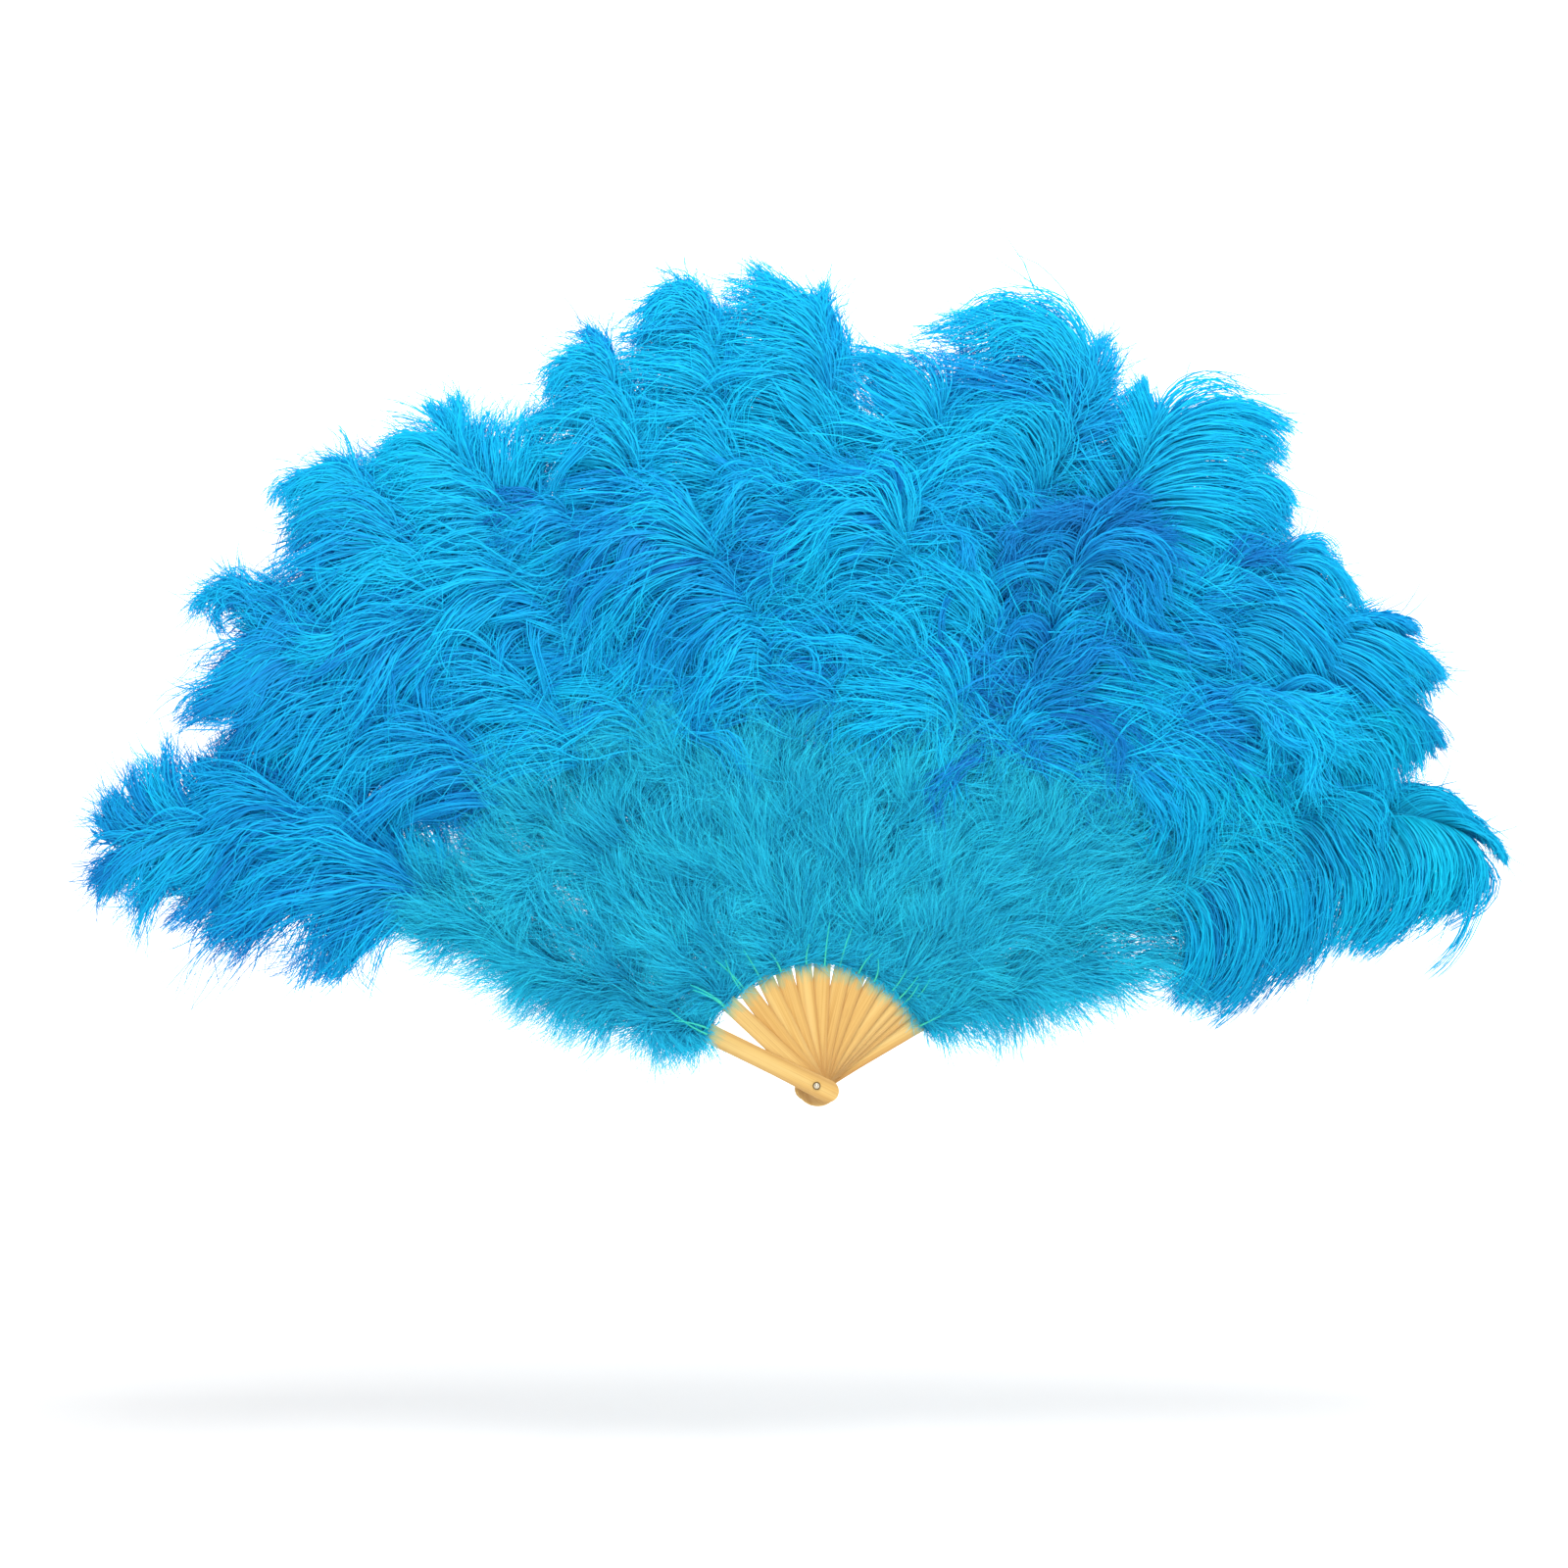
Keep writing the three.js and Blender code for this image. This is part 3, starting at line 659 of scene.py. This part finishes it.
# extra loose locks: how many, how many barbs in each and how they lie
LONG_WISPS = {
    0: [(16, 20, dict(astray=0.18, way_out=226, reach=1.15, near=0.0)), (4, 16, dict(astray=0.12))],
    1: [(16, 20, dict(astray=0.2, way_out=222, reach=1.05, near=0.0)), (8, 20, dict(astray=0.2, way_out=216, near=0.55, reach=1.0))],
    7: [(8, 20, {}), (3, 16, dict(astray=0.10, way_out=106, near=0.95, reach=1.0, lift=0.3))],
    2: [(8, 18, {}), (8, 20, dict(astray=0.18, way_out=224, near=0.5, reach=1.0))],
    8: [(14, 22, dict(astray=0.35, reach=1.0)), (9, 20, dict(astray=0.14, way_out=190, near=0.45, reach=1.0))],
    3: [(12, 20, {}), (10, 22, dict(astray=0.14, way_out=206, near=0.35, reach=1.1))],
    14: [(16, 14, dict(astray=0.16, reach=1.0, near=0.0, lift=0.5)), (14, 16, dict(astray=0.2, way_out=224, near=0.0, reach=1.1, lift=0.5))],
}
# a second, lower feather on the outer arms: its shaft's bend and tip, its flow and its number of barbs
SECOND = {
    0: ([-400, 232, -520, 262], (1, 216, 196, 128, 84, 0), 1150),
    1: ([-372, 322, -470, 330], (1, 224, 200, 128, 84, 0), 1150),
    13: ([430, 318, 500, 330], (-1, 10, -70, 84, 104, 0), 900),
    14: ([420, 240, 480, 262], (-1, -20, -86, 74, 116, 0), 1000),
}


def make_plume(name, k, spec, side, seed, flow, count, locks, cut, bow, sink=0.0, grow=1.0, teal=False, second=None, back=500, wisps=(), ahead=0.0, frizz=1400, **more):
    rng = np.random.default_rng(seed)
    flow = (flow[0], flow[1] + rng.normal(0, 7), flow[2] + rng.normal(0, 7), flow[3] * grow, flow[4] * grow, flow[5])
    base3, tan, nor = rachis(k, spec, side, start=START[k], cut=cut, bow=bow, sink=sink)
    away = flow[5] * smooth(0.15, 1.0, np.linspace(0, 1, len(base3)))
    base3[:, 0] -= nor[:, 0] * away
    base3[:, 2] -= nor[:, 1] * away
    paths, tone = plume_strands(rng, base3, tan, flow, count, locks, **more)
    st = Strands()
    if second:
        base_b, tan_b, _ = rachis(k, second[0], side, start=START[k] + 10, cut=0.95, bow=bow)
        pb, tb = plume_strands(rng, base_b, tan_b, second[1], second[2], 24, **dict(more, wavy=0.45, cover=0.5))
        st.ribbons(pb * MM, rng.uniform(0.8, 1.4, len(pb)) * MM, tb, facing_of(rng, len(pb)), taper=0.6)
    width = rng.uniform(0.75, 1.4, len(paths)) * MM
    st.ribbons(paths * MM, width, tone, facing_of(rng, len(paths)), taper=0.6)
    # the backing barbs take a tone 0.08 lower than the plume: painted shade behind the front barbs
    pb, tb = plume_backing(rng, base3, tan, flow, back, tone=more["tone"] - 0.08)
    st.ribbons(pb * MM, rng.uniform(1.4, 2.4, len(pb)) * MM, tb, facing_of(rng, len(pb), 0.25), taper=0.6)
    pf, tf = plume_frizz(rng, paths, tone, frizz)
    st.ribbons(pf * MM, rng.uniform(0.5, 0.9, len(pf)) * MM, tf, facing_of(rng, len(pf)), taper=0.7)
    for number, size, opts in wisps:
        pw, tw = plume_wisps(rng, base3, tan, flow, number, size, **dict(dict(tone=more["tone"]), **opts))
        st.ribbons(pw * MM, rng.uniform(0.8, 1.4, len(pw)) * MM, tw, facing_of(rng, len(pw)), taper=0.6)
    th = math.radians(ANGLES[k])
    e = np.array([math.cos(th), math.sin(th)])
    l = np.array([-math.sin(th), math.cos(th)])
    lead = np.linspace(119, START[k] - 6, 9)[:, None] * e + l * side * 1.5
    y = layer_y(k, np.hypot(lead[:, 0], lead[:, 1])) - 0.6
    lead3 = np.stack([lead[:, 0], y, lead[:, 1]], 1)
    shaft = np.concatenate([lead3, base3[::4][1:]])
    shaft[:, 1] -= ahead * smooth(0.25, 0.5, np.linspace(0, 1, len(shaft))) * (1 - smooth(0.8, 1.0, np.linspace(0, 1, len(shaft))))
    rad = np.interp(np.linspace(0, 1, len(shaft)), [0, 0.06, 0.5, 1], [0.55, 1.05, 0.9, 0.22])
    st.tube(shaft * MM, rad * MM, 1, tone=0.6)
    return st.build(name, [OSTRICH_TEAL if teal else OSTRICH, QUILL])


# ---------------------------------------------------------------- marabou
FLUFF_MORE = [44, 56, 44, 18, 0, 0, 0, 0, 0, 8, 30, 56, 64, 70, 90]


def make_marabou(name, k, seed, tufts=46, kids=62, steps=5):
    """Soft down tied along the rib in tufts that fan outwards."""
    rng = np.random.default_rng(seed)
    th = math.radians(ANGLES[k])
    e = np.array([math.cos(th), math.sin(th)])
    l = np.array([-math.sin(th), math.cos(th)])
    left = 34 if k == 0 else 0.5 * math.radians(ANGLES[k - 1] - ANGLES[k]) * 310 + 8
    right = 60 if k == LAST else 0.5 * math.radians(ANGLES[k] - ANGLES[k + 1]) * 310 + 8
    st = Strands()
    swirl, patch = wave_field(rng, (120, 70, 40)), wave_field(rng, (110, 60))
    n = int(tufts * (left + right) / 66 * (1 + FLUFF_MORE[k] / 226) * (1.25 if k in (0, LAST) else 1.0))
    for face in (-1, 1):
        place = (np.arange(n) + rng.uniform(0, 1, n)) / n
        u0 = 112 + (226 + FLUFF_MORE[k] + (26 if face > 0 and k < 9 else 0)) * place ** 0.85
        t = rng.uniform(-1, 1, n)
        if k in (0, LAST):
            low = (rng.random(n) < 0.55) & (u0 < 240)
            t = np.where(low, rng.uniform(0.55, 1.0, n) * (1 if k == 0 else -1), t)
        grow = 0.16 + 0.84 * smooth(100, 320, u0)
        reach = np.where(t > 0, left, right)
        t0 = t * reach * grow * (0.72 + 0.006 * np.clip(reach - 30, 0, 30))
        if k == 0:
            t0 = np.where(t > 0, t0 * np.interp(u0, [110, 180, 330], [1.2, 1.0, 0.85]), t0)
        if k == LAST:
            t0 = np.where(t < 0, t0 * np.interp(u0, [110, 200, 300, 400], [0.45, 0.66, 1.2, 1.7]), t0)
        lean = t * (0.22 + 0.012 * np.clip(reach - 30, 0, 30)) + rng.normal(0, 0.36, n)
        edge = (t > 0) & (k == 0) | (t < 0) & (k == LAST)
        lean = lean + np.where(edge, t * np.interp(u0, [110, 150, 230, 300], [1.5, 1.05, 0.55, 0.0] if k == 0 else [0.9, 0.7, 0.45, 0.3]), 0)
        L = rng.uniform(50, 88, n) * np.interp(u0, [110, 150, 330], [0.66, 0.92, 1.0])
        up = rng.uniform(0.15, 0.75, n)
        bend = rng.normal(0, 0.35, n)
        own = np.repeat(np.arange(n), kids)
        N = len(own)
        fan = rng.normal(0, 1, N)
        start = u0[own][:, None] * e + t0[own][:, None] * l
        A_0 = th + lean[own]
        side = np.stack([-np.sin(A_0), np.cos(A_0)], 1)
        start = start + side * (fan * 2.2)[:, None] + rng.normal(0, 1.2, (N, 2)) + rng.uniform(-6, 16, N)[:, None] * e
        A0 = A_0 + fan * rng.uniform(0.26, 0.50, n)[own] + rng.normal(0, 0.14, N)
        A1 = A_0 + fan * 0.16 + bend[own] + rng.normal(0, 0.12, N)
        E0 = up[own] + rng.normal(0, 0.16, N)
        r = np.hypot(start[:, 0], start[:, 1])
        P = np.stack([start[:, 0], layer_y(k, r) + face * 0.9, start[:, 1]], 1)
        full = L[own] * rng.uniform(0.55, 1.08, N)
        wob = rng.normal(0, 0.20, (N, 2))
        path = [P.copy()]
        for j in range(steps):
            u = (j + 0.5) / steps
            turn = 0.30 * swirl(P[:, 0], P[:, 2])
            A = A0 + (A1 - A0) * u + wob[:, 0] * math.sin(5.0 * u) + turn
            E = E0 * (1 - 1.35 * u) + wob[:, 1] * math.sin(4.0 * u + 1) + 0.6 * turn
            d = np.stack([np.cos(A) * np.cos(E), face * np.sin(E), np.sin(A) * np.cos(E)], 1)
            d[:, 2] -= 0.05 * u
            P = P + d * (full / steps)[:, None]
            path.append(P.copy())
        path = np.stack(path, 1)
        tone = 0.62 + 0.21 * rng.normal(0, 1, n)[own] + 0.13 * patch(start[:, 0], start[:, 1]) + rng.normal(0, 0.08, N)
        width = rng.uniform(0.42, 0.85, N) * MM
        st.ribbons(path * MM, width, tone, facing_of(rng, N, 0.55) * np.array([1, -face, 1]))
        # short down that closes the gaps around the stick's end and along the rib
        N = 1200
        u1 = np.where(rng.random(N) < 0.5, rng.uniform(108.5 if face < 0 or k > 3 else 105, 128, N), rng.uniform(120, 350 + FLUFF_MORE[k], N))
        t1 = rng.uniform(-6.5, 6.5, N)
        way = np.sign(rng.uniform(-1, 1, N))
        A = th + way * rng.uniform(0.35, 1.75 if face < 0 else 2.0, N)
        start = u1[:, None] * e + t1[:, None] * l
        P = np.stack([start[:, 0], layer_y(k, u1) + face * rng.uniform(0.6, 3.0, N), start[:, 1]], 1)
        full = rng.uniform(16, 36, N) * np.where(u1 > 130, 1.5, 1.0)
        E0 = rng.normal(0.12, 0.35, N)
        turn = rng.normal(0, 0.6, N) - way * 0.5
        path = [P.copy()]
        for j in range(steps):
            u = (j + 0.5) / steps
            a = A + turn * u
            E = E0 * (1 - 1.2 * u)
            P = P + np.stack([np.cos(a) * np.cos(E), face * np.sin(E), np.sin(a) * np.cos(E)], 1) * (full / steps)[:, None]
            path.append(P.copy())
        path = np.stack(path, 1)
        st.ribbons(path * MM, rng.uniform(0.5, 0.9, N) * MM, 0.45 + rng.normal(0, 0.15, N), facing_of(rng, N, 0.7) * np.array([1, -face, 1]))
        if face < 0:
            # a little down hangs over the blade's end
            N = int(150 * (1.0 if 7 < k < LAST else 0.55))
            t1 = rng.uniform(-7.0, 7.0, N)
            clump = np.sin(t1 * 1.3 + k) > (-0.2 if 7 < k < LAST else 0.35)
            A = th + math.pi + rng.normal(0, 0.55, N)
            full = rng.uniform(5, 13, N) * np.where(clump, 1.0, 0.4)
            start = rng.uniform(109.5, 112.5, N)[:, None] * e + t1[:, None] * l
            P = np.stack([start[:, 0], layer_y(k, 110) - (2.4 if k == 0 else 1.5) - rng.uniform(0, 1.2, N), start[:, 1]], 1)
            path = [P.copy()]
            turn = rng.normal(0, 0.5, N)
            for j in range(steps):
                a = A + turn * (j + 0.5) / steps
                P = P + np.stack([np.cos(a), np.full(N, -0.05), np.sin(a)], 1) * (full / steps)[:, None]
                path.append(P.copy())
            st.ribbons(np.stack(path, 1) * MM, rng.uniform(0.35, 0.6, N) * MM, 0.55 + rng.normal(0, 0.12, N), facing_of(rng, N, 0.5))
    # bare quills that show where the feathers are tied to the stick
    for i in range(2 if k < 3 else 1):
        t = rng.uniform(-5.0, 5.0)
        u = np.linspace(rng.uniform(105, 109), rng.uniform(138, 152) if k < 3 else rng.uniform(124, 146), 6)
        sway = rng.normal(0, 5.0)
        q = u[:, None] * e + (t + sway * np.linspace(0, 1, 6) ** 2)[:, None] * l
        y = layer_y(k, 0) - (1.5 if 0 < k < LAST else 2.6 if k == 0 else 1.6) - 19.0 * np.linspace(0.01, 1.0, 6) ** 0.8
        st.tube(np.stack([q[:, 0], y, q[:, 1]], 1) * MM, np.linspace(0.95, 0.45, 6) * MM, 1, sides=5, tone=0.9, v_to=0.25)
    return st.build(name, [MARABOU, QUILL])


# ---------------------------------------------------------------- bamboo sticks
def stick_outline(k, ease=0.0):
    guard = k in (0, LAST)
    head = 10 if guard else 9.2
    reach = 21 if guard else 19.6
    half = 8.7 if guard else 7.7
    c = -(reach - head)
    pts = []
    for a in np.linspace(math.pi / 2, 1.5 * math.pi, 33):
        pts.append((c + (head - ease) * math.cos(a), (head - ease) * math.sin(a)))
    for t in np.linspace(0.05, 1, 12):
        u = c + (45 - c) * t
        h = head + (half - head) * (3 * t * t - 2 * t ** 3)
        pts.append((u, -(h - ease)))
    for a in np.linspace(-math.pi / 2, 0, 7):
        pts.append((BLADE_END - 1.9 + (1.9 - ease) * math.cos(a), -(half - 1.9) + (1.9 - ease) * math.sin(a)))
    upper = [(u, -t) for u, t in pts[33:]][::-1]
    return np.array(pts + upper)


def make_stick(name, k):
    guard = k in (0, LAST)
    mid = (k - LAST / 2) * PITCH
    half_layer = (PITCH - LAYER_GAP) / 2
    y0, y1 = mid - BLADE_T / 2, mid + BLADE_T / 2
    if k == 0:
        y1 = mid + half_layer
        y0 = y1 - GUARD_T
    if k == LAST:
        y0 = mid - half_layer
        y1 = y0 + GUARD_T
    th = math.radians(ANGLES[k])
    soft = 0.75 if guard else 0.5
    rings = []
    for ease, y in ((soft, y0), (soft * 0.45, y0 + soft * 0.16), (soft * 0.12, y0 + soft * 0.45), (0, y0 + soft), (0, y1 - soft), (soft * 0.12, y1 - soft * 0.45), (soft * 0.45, y1 - soft * 0.16), (soft, y1)):
        rings.append((stick_outline(k, ease), y))
    n = len(rings[0][0])
    hole = np.array([(1.9 * math.cos(a), 1.9 * math.sin(a)) for a in np.linspace(0, 2 * math.pi, 28, endpoint=False)])
    verts, quads, tris, st_uv = [], [], [], []

    def put(uv2, y):
        start = len(verts)
        for u, t in uv2:
            verts.append((u, y, t))
        return start

    starts = [put(o, y) for o, y in rings]
    for a, b in zip(starts, starts[1:]):
        for i in range(n):
            j = (i + 1) % n
            quads.append((a + i, b + i, b + j, a + j))
    for s_ring, y, flip in ((starts[0], y0, False), (starts[-1], y1, True)):
        outline = rings[0][0] if y == y0 else rings[-1][0]
        # the flat face between the outline and the hole's rim
        hs = put(hole, y)
        faces = tessellate_polygon([[Vector((u, t, 0)) for u, t in outline], [Vector((u, t, 0)) for u, t in hole]])
        for f in faces:
            ids = [(s_ring + i) if i < n else (hs + i - n) for i in f]
            p = [verts[i] for i in ids]
            area = (p[1][0] - p[0][0]) * (p[2][2] - p[0][2]) - (p[2][0] - p[0][0]) * (p[1][2] - p[0][2])
            # seen from the front (-Y), a counter-clockwise turn in X,Z faces the viewer
            want = area > 0
            if flip:
                want = not want
            tris.append(tuple(ids) if want else tuple(reversed(ids)))
        if y == y0:
            front_hole = hs
        else:
            m = len(hole)
            for i in range(m):
                j = (i + 1) % m
                quads.append((front_hole + i, front_hole + j, hs + j, hs + i))
    # slim rib that carries the quills
    ry0, ry1 = mid + 0.1, mid + half_layer
    us = np.linspace(BLADE_END - 6, 300, 14)
    rib = []
    for u in us:
        h = 3.0 + (2.2 - 3.0) * (u - 102) / 198
        rib.append([put([(u, t)], y) for t, y in ((-h + 0.25, ry0), (h - 0.25, ry0), (h, ry0 + 0.25), (h, ry1 - 0.2), (h - 0.2, ry1), (-h + 0.2, ry1), (-h, ry1 - 0.2), (-h, ry0 + 0.25))])
    for a, b in zip(rib, rib[1:]):
        for i in range(8):
            j = (i + 1) % 8
            quads.append((a[i], a[j], b[j], b[i]))
    for cap, turn in ((rib[0], True), (rib[-1], False)):
        for i in range(1, 7):
            t3 = (cap[0], cap[i], cap[i + 1])
            tris.append(tuple(reversed(t3)) if turn else t3)
    v = np.array(verts)
    flat_uv = np.stack([v[:, 0] * MM, v[:, 2] * MM + 0.02], 1)
    c, s = math.cos(th), math.sin(th)
    world = np.stack([v[:, 0] * c - v[:, 2] * s, v[:, 1], v[:, 0] * s + v[:, 2] * c], 1) * MM
    loops = np.concatenate([np.array(quads).ravel(), np.array(tris).ravel()])
    ob = mesh_object(name, world, quads, tris, uv=flat_uv[loops], uv_name="stick", mats=[bamboo_material(k)], flat=True)
    for p in ob.data.polygons:
        p.use_smooth = True
    ob.data.set_sharp_from_angle(angle=math.radians(35))
    return ob


def lathe(name, profile, metal, sides=56):
    """profile of (radius, y) in mm, turned about the Y axis."""
    prof = np.array(profile)
    ang = np.arange(sides) * 2 * math.pi / sides
    verts, rows = [], []
    for r, y in prof:
        if r < 1e-6:
            rows.append([len(verts)] * sides)
            verts.append((0, y, 0))
        else:
            rows.append(list(range(len(verts), len(verts) + sides)))
            verts.extend((r * math.cos(a), y, r * math.sin(a)) for a in ang)
    quads, tris = [], []
    for a, b in zip(rows, rows[1:]):
        for i in range(sides):
            j = (i + 1) % sides
            if a[0] == a[1]:
                tris.append((a[i], b[j], b[i]))
            elif b[0] == b[1]:
                tris.append((a[i], a[j], b[i]))
            else:
                quads.append((a[i], a[j], b[j], b[i]))
    ob = mesh_object(name, np.array(verts) * MM, quads, tris, mats=[metal])
    ob.data.set_sharp_from_angle(angle=math.radians(40))
    return ob


def finish_piece(ob, body, slot, *nodes):
    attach(ob, body)
    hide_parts(*nodes)


for k in range(15):
    body = f"arm_{k}"
    node = "front_guard" if k == 0 else "back_guard" if k == LAST else f"stick_{k}"
    finish_piece(make_stick(f"bamboo_{node}", k), body, "bamboo", node)
    finish_piece(make_marabou(f"marabou_fluff_{k}", k, 500 + k), body, "marabou", f"marabou_{k}")
    combed = k >= 9
    finish_piece(
        make_plume(f"ostrich_plume_{k}", k, LONG[k], 1, 100 + k, LONG_FLOW[k], 2350, 28 if k == LAST else 40, LONG_CUT[k], 5 + 1.9 * k, lift=0.62, cover=COVER[k], teal=k in (13, 14), second=SECOND.get(k),
                   blunt=BLUNT[k], fringe=0.7 if k == LAST else 0.2 if combed else 0.75 if k == 8 else 0.5, tone=LONG_TONE[k], skip=(0.03, 0) if k == 0 else (0, 0),
                   wavy=0.14 if combed else 0.18 if k == 0 else 0.34, rough=0.45 if combed else 1.0, curl=0.35 if combed else 0.6, mess=0.0 if combed else 0.4, frizz=500 if combed else 1800,
                   back=1500 if 1 < k < 9 else 1300 if k < 10 else 900, root=0.75 if k == 0 else 0.4 if k == LAST else 0.0, ahead=2.6 if k in (0, 11, 12, 13, 14) else 0.0, wisps=LONG_WISPS.get(k, [(6, 16, dict(astray=0.25))] if combed else [(12, 20, {})])),
        body, "ostrich", f"long_plume_{k}",
    )
    if SHORT[k]:
        finish_piece(
            make_plume(f"ostrich_short_{k}", k, SHORT[k], -1, 300 + k, SHORT_FLOW[k], int(1650 * SHORT_SIZE[k]), 24, SHORT_CUT[k], SHORT_BOW[k], teal=k == 12,
                       sink=28 * SHORT_SIZE[k] ** 2, lift=0.45 if k in (1, 3) else 0.7, curl=0.8, fringe=0.75, tone=SHORT_TONE[k], cover=0.45, wavy=0.55, mess=0.8, grow=SHORT_SIZE[k],
                       back=350, wisps=[(22, 20, dict(astray=0.6, lift=1.0))]),
            body, "ostrich", f"short_plume_{k}",
        )

# rivet and washers
front = (0 - LAST / 2) * PITCH + (PITCH - LAYER_GAP) / 2 - GUARD_T
back = -front
wf, wb = front - 0.25, back + 0.25
hb = wf - 0.8 - 0.25
hf = hb - 0.6
tf = wb + 0.8 + 0.25
tb = tf + 0.6
rivet = lathe("rivet_turned", [
    (0, hf - 0.9), (0.45, hf - 0.87), (0.85, hf - 0.74), (1.2, hf - 0.48), (1.42, hf - 0.16), (1.5, hf + 0.02),
    (1.75, hf + 0.04), (2.2, hf), (2.4, hf + 0.08), (2.5, hf + 0.25), (2.5, hb - 0.1), (2.42, hb), (1.5, hb), (1.5, tf),
    (2.42, tf), (2.5, tf + 0.1), (2.45, tf + 0.35), (2.1, tb - 0.05), (1.4, tb + 0.1), (0.6, tb + 0.17), (0, tb + 0.2)], METAL)
finish_piece(rivet, "arm_0", "rivet_metal", "rivet")
for name, node, y in (("washer_front_turned", "front_washer", wf - 0.8), ("washer_back_turned", "back_washer", wb)):
    w = lathe(name, [(1.85, y + 0.12), (1.95, y + 0.02), (2.05, y), (3.25, y), (3.43, y + 0.07), (3.5, y + 0.22), (3.5, y + 0.58), (3.43, y + 0.73), (3.25, y + 0.8), (2.05, y + 0.8), (1.95, y + 0.78), (1.85, y + 0.68), (1.85, y + 0.12)], TARNISHED)
    finish_piece(w, "arm_0", "rivet_metal", node)

# ---------------------------------------------------------------- stage, light, camera
floor_mat = Nodes("pale_floor")
floor_mat.bsdf.inputs["Base Color"].default_value = (0.92, 0.92, 0.92, 1)
floor_mat.bsdf.inputs["Roughness"].default_value = 0.8
FLOOR_Z = -0.36
prof = [(-7.0, FLOOR_Z), (6.6, FLOOR_Z)]
for a in np.linspace(0, math.pi / 2, 12):
    prof.append((6.8 + 1.4 * math.sin(a), FLOOR_Z + 1.4 * (1 - math.cos(a))))
prof.append((8.2, 7.0))
fv, fq = [], []
for y, z in prof:
    fv += [(-9, y, z), (9, y, z)]
for i in range(len(prof) - 1):
    fq.append((2 * i, 2 * i + 1, 2 * i + 3, 2 * i + 2))
floor = mesh_object("studio_floor", np.array(fv, float), fq, mats=[floor_mat.mat])

world = bpy.data.worlds.new("studio")
world.use_nodes = True
world.node_tree.nodes["Background"].inputs[0].default_value = (1, 1, 1, 1)
world.node_tree.nodes["Background"].inputs[1].default_value = 0.66
scene.world = world


def area(name, loc, at, size, power, colour=(1, 1, 1)):
    d = bpy.data.lights.new(name, "AREA")
    d.shape = "SQUARE"
    d.size = size
    d.energy = power
    d.color = colour
    o = bpy.data.objects.new(name, d)
    o.location = loc
    o.rotation_euler = (Vector(at) - Vector(loc)).to_track_quat("-Z", "Y").to_euler()
    scene.collection.objects.link(o)
    return o


area("key", (0.15, -1.9, 2.6), (0, 0, 0.42), 1.2, 62)
area("fill", (1.9, -2.6, 0.9), (0, 0, 0.35), 1.6, 10)
area("rear", (0.6, 1.6, 1.9), (0, 0, 0.4), 1.4, 16)
area("backdrop", (0.0, 5.0, 4.4), (0, 8.2, 0.7), 3.0, 300)

cam = bpy.data.cameras.new("camera")
cam.lens = 90
cam.sensor_width = 36
cam_ob = bpy.data.objects.new("camera", cam)
cam_ob.location = (-0.029, -3.5, 0.268)
cam_ob.rotation_euler = (math.radians(90), 0, 0)
scene.collection.objects.link(cam_ob)
scene.camera = cam_ob
scene.view_settings.view_transform = "Standard"
scene.view_settings.look = "None"
